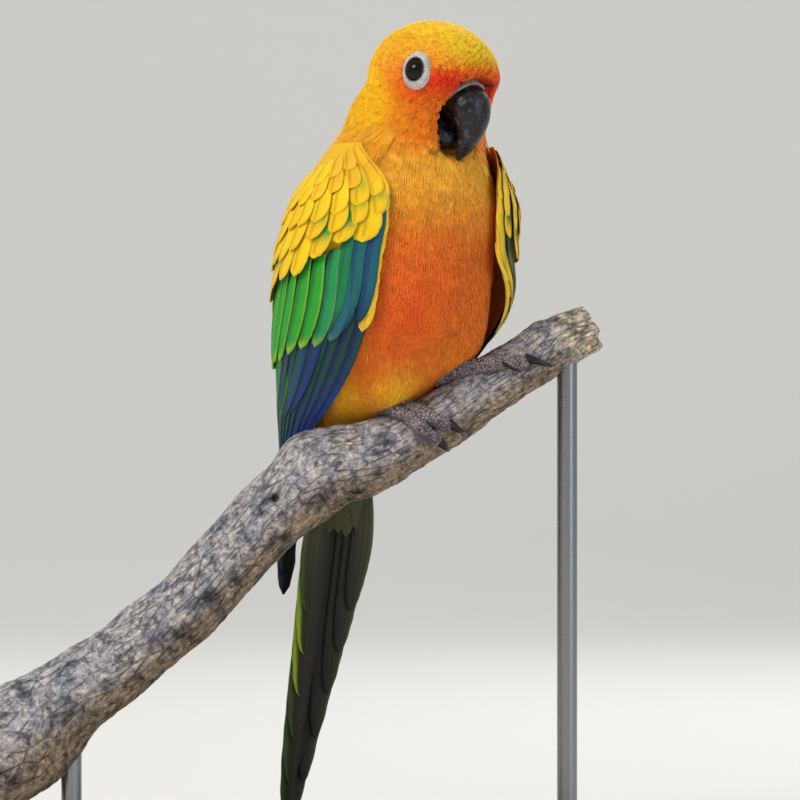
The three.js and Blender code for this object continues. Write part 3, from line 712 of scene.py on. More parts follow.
@dataclass(frozen=True)
class Plumage:
    """Feather web: soft keratin barbs in fine stripes, so it is matt, with a faint sheen across the
    stripes."""

    name: str = "feather_web"
    barb_mm: float = 0.9
    barb_slant: float = 1.2
    wander_mm: float = 1.6
    roughness: float = 0.62
    sheen: float = 0.03
    bump: float = 0.35

    def build(self) -> Material:
        """Makes the material.

        Returns:
            A material that takes its colour from the attribute Marking and its barbs from the UV map Vane.
        """
        material, tree, shader = new_material(self.name)
        mark = add_node(tree, "ShaderNodeVertexColor", {"layer_name": "Marking"})
        vane = add_node(tree, "ShaderNodeUVMap", {"uv_map": "Vane"})
        parts = add_node(tree, "ShaderNodeSeparateXYZ", _0=vane.outputs[0])
        across = add_node(tree, "ShaderNodeMath", {"operation": "ABSOLUTE"}, _0=parts.outputs["X"])
        multiply_add = {"operation": "MULTIPLY_ADD"}
        slanted = add_node(
            tree, "ShaderNodeMath", multiply_add, _0=across.outputs[0], _1=-self.barb_slant,
            _2=parts.outputs["Y"]
        )
        grain = add_node(
            tree, "ShaderNodeTexNoise", {"noise_dimensions": "2D"}, Vector=vane.outputs[0], Scale=0.6
        )
        wander = add_node(
            tree, "ShaderNodeMath", multiply_add, _0=grain.outputs[0], _1=self.wander_mm,
            _2=slanted.outputs[0]
        )
        per_mm = 2 * math.pi / self.barb_mm
        turns = add_node(tree, "ShaderNodeMath", {"operation": "MULTIPLY"}, _0=wander.outputs[0], _1=per_mm)
        wave = add_node(tree, "ShaderNodeMath", {"operation": "SINE"}, _0=turns.outputs[0])
        shade = add_node(tree, "ShaderNodeMapRange", _0=wave.outputs[0], _1=-1.0, _2=1.0, _3=0.86, _4=1.06)
        tinted = add_node(
            tree, "ShaderNodeVectorMath", {"operation": "SCALE"}, _0=mark.outputs[0], Scale=shade.outputs[0]
        )
        bump = add_node(tree, "ShaderNodeBump", Strength=self.bump, Distance=0.0002, Height=wave.outputs[0])
        set_inputs(
            tree, shader, Base_Color=tinted.outputs[0], Normal=bump.outputs[0], Roughness=self.roughness,
            Sheen_Weight=self.sheen, Specular_IOR_Level=0.35,
        )
        return material


@dataclass(frozen=True)
class Down:
    """Body feathers: loose barbs with no web, so they are matt, with a faint sheen."""

    name: str = "body_feather"
    grain_mm: float = 1.2
    roughness: float = 0.8
    sheen: float = 0.04

    def build(self) -> Material:
        """Makes the material: the attribute Marking, broken up by a fine noise."""
        material, tree, shader = new_material(self.name)
        mark = add_node(tree, "ShaderNodeVertexColor", {"layer_name": "Marking"})
        place = add_node(tree, "ShaderNodeTexCoord").outputs["Object"]
        grain = add_node(tree, "ShaderNodeTexNoise", Vector=place, Scale=1000 / self.grain_mm, Detail=2.0)
        shade = add_node(tree, "ShaderNodeMapRange", _0=grain.outputs[0], _1=0.3, _2=0.7, _3=0.88, _4=1.1)
        tinted = add_node(
            tree, "ShaderNodeVectorMath", {"operation": "SCALE"}, _0=mark.outputs[0], Scale=shade.outputs[0]
        )
        set_inputs(
            tree, shader, Base_Color=tinted.outputs[0], Roughness=self.roughness, Sheen_Weight=self.sheen,
            Specular_IOR_Level=0.25,
        )
        return material


@dataclass(frozen=True)
class Horn:
    """Bill or claw keratin: smooth horn that is worn and flaky near its edges, with a soft wet gloss."""

    name: str
    dark: str
    # Paler colour of the streaks, which are painted sheen.
    light: str
    flake: str
    cell_mm: float = 3.0
    roughness: float = 0.3

    def build(self) -> Material:
        """Makes the material: dark horn with paler blue-grey streaks of painted sheen, and fine flakes."""
        material, tree, shader = new_material(self.name)
        place = add_node(tree, "ShaderNodeTexCoord").outputs["Object"]
        painted_sheen_streak = add_node(tree, "ShaderNodeTexNoise", Vector=place, Scale=1000 / self.cell_mm, Detail=5.0)
        flakes = add_node(tree, "ShaderNodeTexNoise", Vector=place, Scale=3500 / self.cell_mm, Detail=4.0)
        # The paler colour laid in streaks is painted sheen on the dark horn.
        base = ramp(tree, painted_sheen_streak.outputs[0], [(0.38, self.dark), (0.55, self.dark), (0.72, self.light)])
        mask = add_node(tree, "ShaderNodeMapRange", _0=flakes.outputs[0], _1=0.64, _2=0.76, _3=0.0, _4=0.5)
        colours = {"data_type": "RGBA"}
        mixed = add_node(tree, "ShaderNodeMix", colours, _0=mask.outputs[0], _6=base, _7=rgba(self.flake))
        bump = add_node(tree, "ShaderNodeBump", Strength=0.25, Distance=0.0002, Height=flakes.outputs[0])
        set_inputs(
            tree, shader, Base_Color=mixed.outputs[2], Normal=bump.outputs[0], Roughness=self.roughness,
            Specular_IOR_Level=0.4,
        )
        return material


@dataclass(frozen=True)
class ScaledSkin:
    """Bare skin of the toes, or of the eye's ring: leathery, matt, and darker in the furrows between
    scales."""

    name: str
    furrow: str
    scale: str
    tip: str
    cell_mm: float = 1.2
    roughness: float = 0.62
    bump: float = 0.5

    def build(self) -> Material:
        """Makes the material: cells with dark borders, tinted by a slower noise and by the attribute
        Marking."""
        material, tree, shader = new_material(self.name)
        mark = add_node(tree, "ShaderNodeVertexColor", {"layer_name": "Marking"})
        place = add_node(tree, "ShaderNodeTexCoord").outputs["Object"]
        borders = {"feature": "DISTANCE_TO_EDGE"}
        cells = add_node(tree, "ShaderNodeTexVoronoi", borders, Vector=place, Scale=1000 / self.cell_mm)
        tint = add_node(tree, "ShaderNodeTexNoise", Vector=place, Scale=260.0, Detail=3.0)
        skin = ramp(tree, tint.outputs[0], [(0.35, self.scale), (0.65, self.tip)])
        mask = add_node(tree, "ShaderNodeMapRange", _0=cells.outputs[0], _1=0.02, _2=0.16, _3=0.0, _4=1.0)
        colours = {"data_type": "RGBA"}
        mixed = add_node(tree, "ShaderNodeMix", colours, _0=mask.outputs[0], _6=rgba(self.furrow), _7=skin)
        multiply = {"data_type": "RGBA", "blend_type": "MULTIPLY"}
        tinted = add_node(tree, "ShaderNodeMix", multiply, _0=1.0, _6=mixed.outputs[2], _7=mark.outputs[0])
        bump = add_node(
            tree, "ShaderNodeBump", Strength=self.bump, Distance=0.00025, Height=mask.outputs[0]
        )
        set_inputs(
            tree, shader, Base_Color=tinted.outputs[2], Normal=bump.outputs[0], Roughness=self.roughness
        )
        return material


@dataclass(frozen=True)
class EyeGlaze:
    """Wet cornea over a dark brown iris: nearly black, with a sharp highlight."""

    name: str = "wet_eye"
    roughness: float = 0.06
    tear_film_ior: float = 1.336

    def build(self) -> Material:
        """Makes the material from the attribute Marking."""
        material, tree, shader = new_material(self.name)
        mark = add_node(tree, "ShaderNodeVertexColor", {"layer_name": "Marking"})
        set_inputs(
            tree, shader, Base_Color=mark.outputs[0], Roughness=self.roughness, IOR=self.tear_film_ior
        )
        return material


@dataclass(frozen=True)
class Bark:
    """Weathered hardwood bark: blue-grey on top, tan below, cracked, with cream and dark blotches of
    lichen."""

    name: str = "weathered_bark"
    blotch_mm: float = 9.0
    speck_mm: float = 2.2
    crack_mm: float = 2.6
    roughness: float = 0.88

    def build(self) -> Material:
        """Makes the material: a ramp over broken noise, cracks that run along the branch and are darkened
        partly for the bark's own darker colour in them and partly as painted shade, and pale lichen.

        Returns:
            A material that takes its general tone from the attribute Marking.
        """
        material, tree, shader = new_material(self.name)
        mark = add_node(tree, "ShaderNodeVertexColor", {"layer_name": "Marking"})
        vane = add_node(tree, "ShaderNodeUVMap", {"uv_map": "Vane"})
        place = add_node(tree, "ShaderNodeTexCoord").outputs["Object"]
        blotch, speck = (
            add_node(
                tree, "ShaderNodeTexNoise", Vector=place, Scale=1000 / size, Detail=detail, Roughness=rough
            )
            for size, detail, rough in ((self.blotch_mm, 8.0, 0.68), (self.speck_mm, 6.0, 0.7))
        )
        stretched = add_node(tree, "ShaderNodeMapping", Vector=vane.outputs[0], Scale=(1.0, 0.28, 1.0))
        borders = {"feature": "DISTANCE_TO_EDGE"}
        crack = add_node(
            tree, "ShaderNodeTexVoronoi", borders, Vector=stretched.outputs[0], Scale=1 / self.crack_mm
        )
        warp = add_node(tree, "ShaderNodeTexNoise", Vector=place, Scale=160.0, Detail=4.0)
        tone = ramp(
            tree, blotch.outputs[0],
            [(0.34, "#3A3A3F"), (0.45, "#8E9098"), (0.53, "#BDB9B4"), (0.6, "#84858C"), (0.7, "#DCCFB2")],
        )
        flecks = [(0.36, "#242223"), (0.47, "#8F8C8C"), (0.56, "#AFA9A2"), (0.7, "#EDE0C6")]
        fine = ramp(tree, speck.outputs[0], flecks)
        overlay, multiply = ({"data_type": "RGBA", "blend_type": kind} for kind in ("OVERLAY", "MULTIPLY"))
        both = add_node(tree, "ShaderNodeMix", overlay, _0=0.75, _6=tone, _7=fine)
        marked = add_node(tree, "ShaderNodeMix", multiply, _0=1.0, _6=both.outputs[2], _7=mark.outputs[0])
        multiply_add = {"operation": "MULTIPLY_ADD"}
        edge = add_node(
            tree, "ShaderNodeMath", multiply_add, _0=warp.outputs[0], _1=0.35, _2=crack.outputs[0]
        )
        # The cracks darken the colour to 0.35: partly the bark's own darker colour, partly painted shade.
        gap = add_node(tree, "ShaderNodeMapRange", _0=edge.outputs[0], _1=0.16, _2=0.26, _3=0.35, _4=1.0)
        final = add_node(
            tree, "ShaderNodeVectorMath", {"operation": "SCALE"}, _0=marked.outputs[2], Scale=gap.outputs[0]
        )
        height = add_node(
            tree, "ShaderNodeMath", {"operation": "ADD"}, _0=gap.outputs[0], _1=speck.outputs[0]
        )
        bump = add_node(tree, "ShaderNodeBump", Strength=0.7, Distance=0.0009, Height=height.outputs[0])
        set_inputs(
            tree, shader, Base_Color=final.outputs[0], Normal=bump.outputs[0], Roughness=self.roughness
        )
        return material


@dataclass(frozen=True)
class StainedWood:
    """Dark-stained, oiled beech: satin, with long fine grain along the base."""

    name: str = "stained_beech"
    grain_mm: float = 3.0
    roughness: float = 0.38

    def build(self) -> Material:
        """Makes the material: noise stretched along x for the grain, with fine pores."""
        material, tree, shader = new_material(self.name)
        place = add_node(tree, "ShaderNodeTexCoord").outputs["Object"]
        along = add_node(tree, "ShaderNodeMapping", Vector=place, Scale=(0.06, 1.0, 1.0)).outputs[0]
        size = 1000 / self.grain_mm
        grain = add_node(tree, "ShaderNodeTexNoise", Vector=along, Scale=size, Detail=7.0, Roughness=0.62)
        colour = ramp(tree, grain.outputs[0], [(0.3, "#21150E"), (0.5, "#3B271A"), (0.7, "#553A27")])
        bump = add_node(tree, "ShaderNodeBump", Strength=0.15, Distance=0.0003, Height=grain.outputs[0])
        set_inputs(tree, shader, Base_Color=colour, Normal=bump.outputs[0], Roughness=self.roughness)
        return material


@dataclass(frozen=True)
class BrushedSteel:
    """Stainless steel rod, brushed round: fine rings that spread the highlight along it."""

    name: str = "brushed_steel"

    def build(self) -> Material:
        """Makes the material: metal with roughness from noise in thin level rings."""
        material, tree, shader = new_material(self.name)
        place = add_node(tree, "ShaderNodeTexCoord").outputs["Object"]
        rings = add_node(tree, "ShaderNodeMapping", Vector=place, Scale=(0.03, 0.03, 1.0))
        brushed = add_node(tree, "ShaderNodeTexNoise", Vector=rings.outputs[0], Scale=4000.0, Detail=3.0)
        rough = add_node(
            tree, "ShaderNodeMapRange", _0=brushed.outputs[0], _1=0.3, _2=0.7, _3=0.26, _4=0.36
        )
        bump = add_node(tree, "ShaderNodeBump", Strength=0.08, Distance=0.0001, Height=brushed.outputs[0])
        set_inputs(
            tree, shader, Base_Color=rgba("#8E9093"), Metallic=1.0, Roughness=rough.outputs[0],
            Normal=bump.outputs[0],
        )
        return material


# Skin and coat


@dataclass
class Skin:
    """One unbroken skin over the torso, neck, head and thighs, under the coat."""

    rows: int = 300
    columns: int = 220
    inset: float = 1.1

    def build(self, form: BirdForm, material: Material) -> Piece:
        """Makes the skin: level rings of outermost points, closer together towards the crown.

        Args:
            form: The bird's flesh.
            material: Finish of the skin.

        Returns:
            The piece, in place of the flesh nodes.
        """
        share = np.linspace(0, 1, self.rows)
        z = mix(form.low + 0.9, form.high - 2.0, np.sin(share * np.pi / 2))
        angle = np.linspace(0, 2 * np.pi, self.columns, endpoint=False)
        points, triangles = capped(form.surface(z[:, None], angle[None, :]))
        points[-1, 2] += 0.3
        # The skin takes the coat's colour darkened to 0.8, as painted shade under the tufts.
        piece = make_piece(
            "skin", points, triangles, Space.BIRD, material,
            colour=body_markings_and_painted_shade(points) * 0.8, bake=form.unwrap(points),
        )
        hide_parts("head", "neck", "torso", "thigh_right", "thigh_left")
        return piece


@dataclass
class Tufts:
    """A field of small body feathers, each a fan of loose barbs that leave a short shaft."""

    name: str
    z_low: float
    z_high: float
    spacing: float
    length: float
    width: float
    barbs: int = 9
    segments: int = 3
    barb_width: float = 0.42
    lift: float = 1.0
    seed: int = 1
    over_wings: bool = False


@dataclass
class Coat:
    """The body feathers, laid over the skin in fields that follow the lie of the plumage."""

    fields: tuple[Tufts, ...] = (
        Tufts("coat_vent", -15, 8, 2.1, 8.0, 5.0, seed=1),
        Tufts("coat_belly", 8, 36, 2.3, 8.5, 5.6, seed=2),
        Tufts("coat_breast", 36, 64, 2.3, 8.0, 5.6, seed=3),
        Tufts("coat_shoulder", 64, 88, 2.1, 7.0, 5.2, seed=4),
        Tufts("coat_mantle", 86, 97, 1.9, 12.5, 6.4, seed=8, lift=3.4, over_wings=True),
        Tufts("coat_throat", 88, 102, 1.75, 5.2, 4.0, seed=5, barb_width=0.36, lift=0.8),
        Tufts("coat_cheek", 102, 116, 1.35, 3.8, 3.0, seed=6, barb_width=0.3, lift=0.6),
        Tufts("coat_crown", 116, 134, 1.4, 4.2, 3.0, seed=7, barb_width=0.3, lift=0.55),
    )

    def roots(self, field: Tufts, form: BirdForm, rng: np.random.Generator) -> Array:
        """Feather roots spread evenly by area: an even two-number sequence over height and turn, weighted
        by the skin's area at each height.

        Args:
            field: Which feathers.
            form: The bird's flesh.
            rng: Source of the jitter.

        Returns:
            Points on the skin.
        """
        z = np.linspace(field.z_low, min(field.z_high, form.high - 0.6), 60)
        angle = np.linspace(0, 2 * np.pi, 90, endpoint=False)
        grid = form.surface(z[:, None], angle[None, :])
        down = np.gradient(grid, axis=0)
        round_ = (np.roll(grid, -1, 1) - np.roll(grid, 1, 1)) / 2
        cell = np.linalg.norm(np.cross(down, round_), axis=-1)
        area = np.maximum(cell.sum(1), 1e-6)
        total = int(cell.sum() / field.spacing**2)
        n = np.arange(total)
        climb = np.cumsum(area) - area / 2
        at_z = np.interp(((n * 0.7548776662 + 0.37) % 1) * area.sum(), climb, z)
        turns = np.cumsum(cell + 1e-9, axis=1)
        turns = turns / turns[:, -1:]
        row = np.clip(np.searchsorted(z, at_z), 0, len(z) - 1)
        wanted = (n * 0.5698402910) % 1
        climbs = np.concatenate(
            [np.zeros((len(z), 1)), turns * (1 - 1e-9)], axis=1
        ) + np.arange(len(z))[:, None]
        ends = np.tile(np.linspace(0, 2 * np.pi, len(angle) + 1), len(z))
        at_angle = np.interp(wanted + row, climbs.ravel(), ends)
        at_z = np.clip(at_z + rng.normal(0, 0.15, total), form.low + 1.2, form.high - 0.5)
        return form.surface(at_z, at_angle + rng.normal(0, 0.01, total))

    def kept(self, points: Array) -> Array:
        """Whether a root is bare of wing, eye ring and bill."""
        q = HEAD.from_bird(points)
        keep = np.ones(len(points), bool)
        for side in Side:
            keep &= HEAD.eye_reach(q, side) > 5.5
        f, u = -q[:, 1], q[:, 2]
        keep &= ~((f > 4) & (np.abs(q[:, 0]) < 8.3) & (u < 1.6) & (u > -24))
        z = points[:, 2]
        middle = (CARRIER("front", z) + CARRIER("back", z)) / 2
        angle = np.degrees(np.arctan2(points[:, 0], middle - points[:, 1]))
        for side in Side:
            here = angle * side.value
            under = (
                here > WING_EDGES("front", z) + wing_shift(z, side) + 11
            ) & (here < WING_EDGES("back", z) - 10)
            keep &= ~(under & (z > 4) & (z < 80))
        return keep

    def build(self, form: BirdForm, material: Material) -> list[Piece]:
        """Makes every field.

        Args:
            form: The bird's flesh.
            material: Finish of the body feathers.

        Returns:
            One piece for each field.
        """
        return [self.field_piece(field, form, material) for field in self.fields]

    def field_piece(self, field: Tufts, form: BirdForm, material: Material) -> Piece:
        """One field of feathers. A guide line runs from each root over the skin along the lie, a step at a
        time, and settles at a height that rises to the tip. Barbs leave it fan-wise: a barb's sideways
        place grows with the square root of its length, and outer barbs are shorter, so that the feather's
        end is round.

        Args:
            field: Which feathers.
            form: The bird's flesh.
            material: Finish.

        Returns:
            The piece.
        """
        rng = np.random.default_rng(field.seed)
        roots = self.roots(field, form, rng)
        roots = roots[self.kept(roots)]
        if field.over_wings:
            angle = np.degrees(form.unwrap(roots)[:, 0] * 2 * np.pi)
            roots = roots[np.abs(np.minimum(angle, 360 - angle) - 94) < 36]
        count, segments, barbs = len(roots), field.segments, field.barbs
        normals = form.normal(roots)
        lie = plumage_lie(roots, normals)
        swing = rng.normal(0, 0.16, count)[:, None]
        side = np.cross(normals, lie)
        lie = unit(lie * np.cos(swing) + side * np.sin(swing))
        near_face = step(26, 10, np.linalg.norm(HEAD.from_bird(roots) - np.array([0, -17, -3]), axis=-1))
        length = field.length * (1 - 0.55 * near_face) * rng.uniform(0.85, 1.18, count)
        width = field.width * (1 - 0.45 * near_face) * rng.uniform(0.9, 1.12, count)
        lift = field.lift * (1 - 0.4 * near_face) * rng.uniform(0.75, 1.3, count)
        guide = [roots + normals * 0.1]
        sides = [side]
        at, heading = roots, lie
        for k in range(1, segments + 1):
            share = k / segments
            at = form.settle(
                at + heading * (length / segments)[:, None], off=0.15 + lift * share**1.3, rounds=2
            )
            normal = form.normal(at)
            heading = unit(heading - normal * (heading * normal).sum(-1, keepdims=True))
            guide.append(at)
            sides.append(np.cross(normal, heading))
        line = np.stack(guide, 1)
        across = np.stack(sides, 1)
        beta = np.linspace(-1, 1, barbs)
        t = np.linspace(0, 1, segments + 1)
        reach = 1 - 0.32 * beta**2 + rng.normal(0, 0.05, (count, barbs))
        along = np.clip(t[None, None, :] * reach[..., None], 0, 1) * segments
        low = np.clip(along.astype(int), 0, segments - 1)
        part = (along - low)[..., None]
        pick = np.arange(count)[:, None, None]
        centre = line[pick, low] * (1 - part) + line[pick, low + 1] * part
        sideways = across[pick, low] * (1 - part) + across[pick, low + 1] * part
        spread = beta[None, :, None] * (0.22 + 0.78 * t[None, None, :] ** 0.5) * (width / 2)[:, None, None]
        spread = spread + rng.normal(0, 0.12, (count, barbs, 1)) * t
        centre = centre + sideways * spread[..., None]
        half = field.barb_width / 2 * np.array([1.1, 1.35, 1.0, 0.16])[None, None, : segments + 1]
        edge = sideways * np.broadcast_to(half, along.shape)[..., None]
        points = np.stack([centre - edge, centre + edge], axis=3).reshape(-1, 3)
        one = grid_faces(segments + 1, 2)[:, ::-1]
        faces = many_faces(one, 2 * (segments + 1), count * barbs)
        tone = body_markings_and_painted_shade(roots + rng.normal(0, 0.7, roots.shape))
        tone = tone * rng.normal(1.0, 0.08, (count, 1))
        # Painted shade: each barb darkens towards its root, where the tufts overlap, and brightens to its
        # tip.
        shade = (0.62 + 0.46 * t)[None, None, :, None] * rng.normal(1.0, 0.05, (count, barbs, 1, 1))
        colour = np.clip(tone[:, None, None, :] * shade, 0, 1)
        colour = np.repeat(colour.reshape(-1, 3), 2, axis=0)
        place = form.unwrap(roots)[:, None, None, None, :]
        inner = np.zeros((count, barbs, segments + 1, 2, 2))
        inner[..., 0] = 0.003 * (beta[None, :, None, None] * 0.4 + 0.5)
        inner[..., 1] = 0.003 * t[None, None, :, None]
        bake = (place + inner).reshape(-1, 2)
        return make_piece(
            field.name, points, faces, Space.BIRD, material, colour=colour, bake=bake
        )


# Wings and tail


def vane_ring(columns: int) -> tuple[Array, Array]:
    """Places round a thin closed vane: across from -1 to 1 on the upper face and back on the lower one.

    Args:
        columns: Points across one face.

    Returns:
        Across from -1 to 1, and 1 on the upper face and 0 on the lower one.
    """
    w = np.linspace(-1, 1, columns)
    return np.concatenate([w, w[::-1]]), np.concatenate([np.ones(columns), np.zeros(columns)])


def vane_half_width(t: Array, pointed: float) -> Array:
    """Half width of a feather along its length, as a share of the widest: it swells from the root as a sine
    and closes to a round tip as the square root of one less a power."""
    swell = 0.55 + 0.45 * np.sin(np.minimum(1, t * 1.6) * np.pi / 2)
    return swell * np.sqrt(np.maximum(0.0, 1 - np.maximum(0, (t - pointed) / (1 - pointed)) ** 2.3))


@dataclass(frozen=True)
class Tier:
    """A row of wing feathers. Pairs are for the front and the back end of the row, or for the root and the
    tip."""

    name: str
    count: int
    root_v: tuple[float, float]
    tip_v: tuple[float, float]
    root_z: tuple[float, float]
    tip_z: tuple[float, float]
    rise: tuple[float, float]
    width: float
    stack: float = 0.0
    tilt: float = 0.13
    camber: float = 0.5
    pointed: float = 0.55
    rows: int = 22
    columns: int = 9
    jitter: float = 1.0


@dataclass
class Wing:
    """One folded wing, laid on the same carrier as its solid."""

    side: Side
    core_low: float = 14.0
    core_high: float = 91.0
    shoulder: float = 2.6
    tiers: tuple[Tier, ...] = (
        Tier(
            "primary", 8, (0.05, 0.42), (0.06, 0.62), (46, 30), (-18, -64), (0.9, 0.8), 9.5, stack=0.32,
            rows=34
        ),
        Tier("secondary", 8, (0.24, 0.9), (0.28, 0.94), (40, 32), (0, -16), (1.2, 3.4), 10.5, rows=28),
        Tier("greater", 11, (0.14, 0.94), (0.14, 0.95), (56, 44), (23, 10), (1.6, 4.0), 8.6),
        Tier("primary_covert", 3, (0.03, 0.16), (0.04, 0.17), (74, 64), (30, 26), (1.8, 4.2), 6.2),
        Tier(
            "median", 9, (0.1, 0.95), (0.08, 0.95), (74, 52), (58, 30), (1.8, 4.6), 9.5, rows=16, jitter=3.4
        ),
        Tier(
            "lesser_4", 10, (0.08, 0.95), (0.05, 0.95), (80, 58), (66, 42), (2.0, 4.7), 8.6, rows=12,
            jitter=1.6
        ),
        Tier(
            "lesser_3", 10, (0.08, 0.93), (0.06, 0.93), (84, 66), (72, 50), (2.0, 4.5), 8.2, rows=12,
            jitter=1.6
        ),
        Tier(
            "lesser_2", 9, (0.1, 0.92), (0.08, 0.92), (87, 74), (77, 60), (1.8, 4.0), 7.8, rows=12,
            jitter=1.6
        ),
        Tier(
            "lesser_1", 8, (0.12, 0.9), (0.1, 0.9), (90, 80), (82, 68), (1.4, 3.3), 7.2, rows=12, jitter=1.4
        ),
        Tier(
            "fringe", 9, (0.02, 0.0), (0.015, 0.0), (84, 42), (72, 27), (0.6, 2.6), 4.6, rows=10, tilt=0.0
        ),
    )

    def angle(self, z: Array, v: Array) -> Array:
        """Angle in radians at a share v of the way from the wing's front edge to its back edge."""
        front = WING_EDGES("front", z) + wing_shift(z, self.side)
        return self.side.value * np.radians(mix(front, WING_EDGES("back", z), v))

    def stand(self, z: Array, v: Array, height: Array) -> Array:
        """Stand-off of points of the wing. It lies flatter towards its front edge and its top, and the left
        one stands off the belly by a bell curve about one height.

        Args:
            z: Heights.
            v: Shares of the way from the front edge to the back edge.
            height: How far the points are above the wing's inner face.

        Returns:
            Distances from the carrier's outline.
        """
        lay = mix(0.45, 1.0, step(0, 0.45, v)) * mix(1.0, 0.55, step(70, 90, z))
        flare = 3.2 * np.exp(-(((z - 40) / 15) ** 2)) if self.side is Side.LEFT else 0.0
        return WING_CLEAR + height * lay + flare

    def thickness(self, z: Array, v: Array) -> Array:
        """Muscle under the coverts: a bell curve about the shoulder, rounded off at the top and at both
        edges.

        Args:
            z: Heights.
            v: Shares of the way from the front edge to the back edge.

        Returns:
            Thicknesses in millimetres.
        """
        share = (z - self.core_low) / (self.core_high - self.core_low)
        bell = self.shoulder * np.exp(-(((share - 0.86) / 0.24) ** 2))
        top = np.sqrt(np.clip((1.02 - share) * 9, 0, 1))
        return bell * top * np.sqrt(np.sin(np.pi * mix(0.02, 0.98, np.clip(v, 0, 1))))

    def core(self, material: Material) -> Piece:
        """The wing's arm under its coverts: a closed shell over the carrier."""
        rows, columns = 60, 40
        z = np.linspace(self.core_low - 20, self.core_high, rows)[:, None]
        v, face = vane_ring(columns)
        v = (v + 1) / 2
        thick = self.thickness(np.maximum(z, self.core_low), v[None, :])
        edge = np.sqrt(np.clip(np.sin(np.pi * v), 0, 1))[None, :]
        height = face[None, :] * (thick + 0.9 * edge * step(self.core_low - 20, self.core_low, z))
        off = self.stand(z, v[None, :], height)
        points = section_point(CARRIER, z + 0 * v, self.angle(z, v[None, :]), off)
        q = points.reshape(-1, 3)
        colour = laid(hex_colour("#12662A"), "#F2BE10", step(46, 58, q[:, 2]))
        colour = laid(colour, "#F0901C", 0.9 * np.tile(1 - face, rows))
        piece = make_piece(
            f"wing_core_{self.side.label}", q, grid_faces(rows, 2 * columns, around=True), Space.BIRD,
            material, colour=colour, vane=np.stack([q[:, 1], q[:, 2]], -1),
            bake=np.stack([np.tile(v, rows), np.repeat(np.linspace(0, 1, rows), 2 * columns)], -1) * 0.2,
        )
        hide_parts(f"wing_{self.side.label}")
        return piece

    def tier_arrays(self, tier: Tier, rng: np.random.Generator) -> dict[str, Array]:
        """Every feather of a tier at once, as closed vanes on the carrier. Height and angle run straight
        from root to tip; the sideways distance becomes an angle through the carrier's radius; the stand-off
        rises to the tip, leans over the feather in front, and is cambered.

        Args:
            tier: Which row.
            rng: Source of the jitter.

        Returns:
            Points, and each point's place in its feather.
        """
        share = np.linspace(0, 1, tier.count)[:, None, None]
        t = np.linspace(0, 1, tier.rows)[None, :, None]
        w, face = vane_ring(tier.columns)
        w, face = w[None, None, :], face[None, None, :]
        wide = 1 + rng.normal(0, 0.05, (tier.count, 1, 1))
        root_z = mix(*tier.root_z, share)
        tip_z = mix(*tier.tip_z, share) + rng.normal(0, tier.jitter, (tier.count, 1, 1)) * 0.7
        v = mix(
            mix(*tier.root_v, share), mix(*tier.tip_v, share), t
        ) + rng.normal(0, 0.006, (tier.count, 1, 1))
        z = mix(root_z, tip_z, t)
        half = tier.width / 2 * wide * vane_half_width(t, tier.pointed)
        half = np.maximum(half, 0.02)
        fray = 1 + 0.05 * np.sin(t * 61 + share * 40 + 2 * w) * step(0.55, 0.9, t) * np.abs(w)
        a = w * half * fray
        radius = (CARRIER("half", z) + (CARRIER("back", z) - CARRIER("front", z)) / 2) / 2
        angle = self.angle(z, v) + self.side.value * a / radius
        top = mix(*tier.rise, t**0.9) + tier.stack * share * (tier.count - 1)
        off = self.stand(z, v, top + self.thickness(z, v) * 0.9)
        off = off - tier.tilt * a + tier.camber * (1 - w**2) * np.minimum(1, t * 4)
        shaft = 0.28 * np.exp(-((a / 0.35) ** 2)) * step(1.0, 0.8, t) * (tier.width > 8)
        off = off + face * (0.3 + shaft)
        bend = z - 0.35 * np.abs(a) * (1 - t) * 0.6
        points = section_point(CARRIER, bend, angle, off)
        shape = points.shape[:3]
        draw, run = rng.random((tier.count, 1, 1)), t * np.abs(root_z - tip_z)
        own = {"t": t, "w": w, "a": a, "s": run, "share": share, "face": face, "draw": draw, "z": z}
        flat = {key: np.broadcast_to(value, shape).reshape(-1) for key, value in own.items()}
        return {"points": points.reshape(-1, 3), **flat}

    def tier_colours(self, tier: Tier, part: dict[str, Array]) -> Array:
        """Colours of a tier by each point's place in its feather.

        Args:
            tier: Which row.
            part: What tier_arrays gives.

        Returns:
            Linear colours.
        """
        t, w, share, draw = part["t"], part["w"], part["share"], part["draw"]
        inner = step(-0.15, 0.25, w)
        edge = step(0.72, 0.98, np.abs(w))
        grain = noise(part["points"], 2.5)

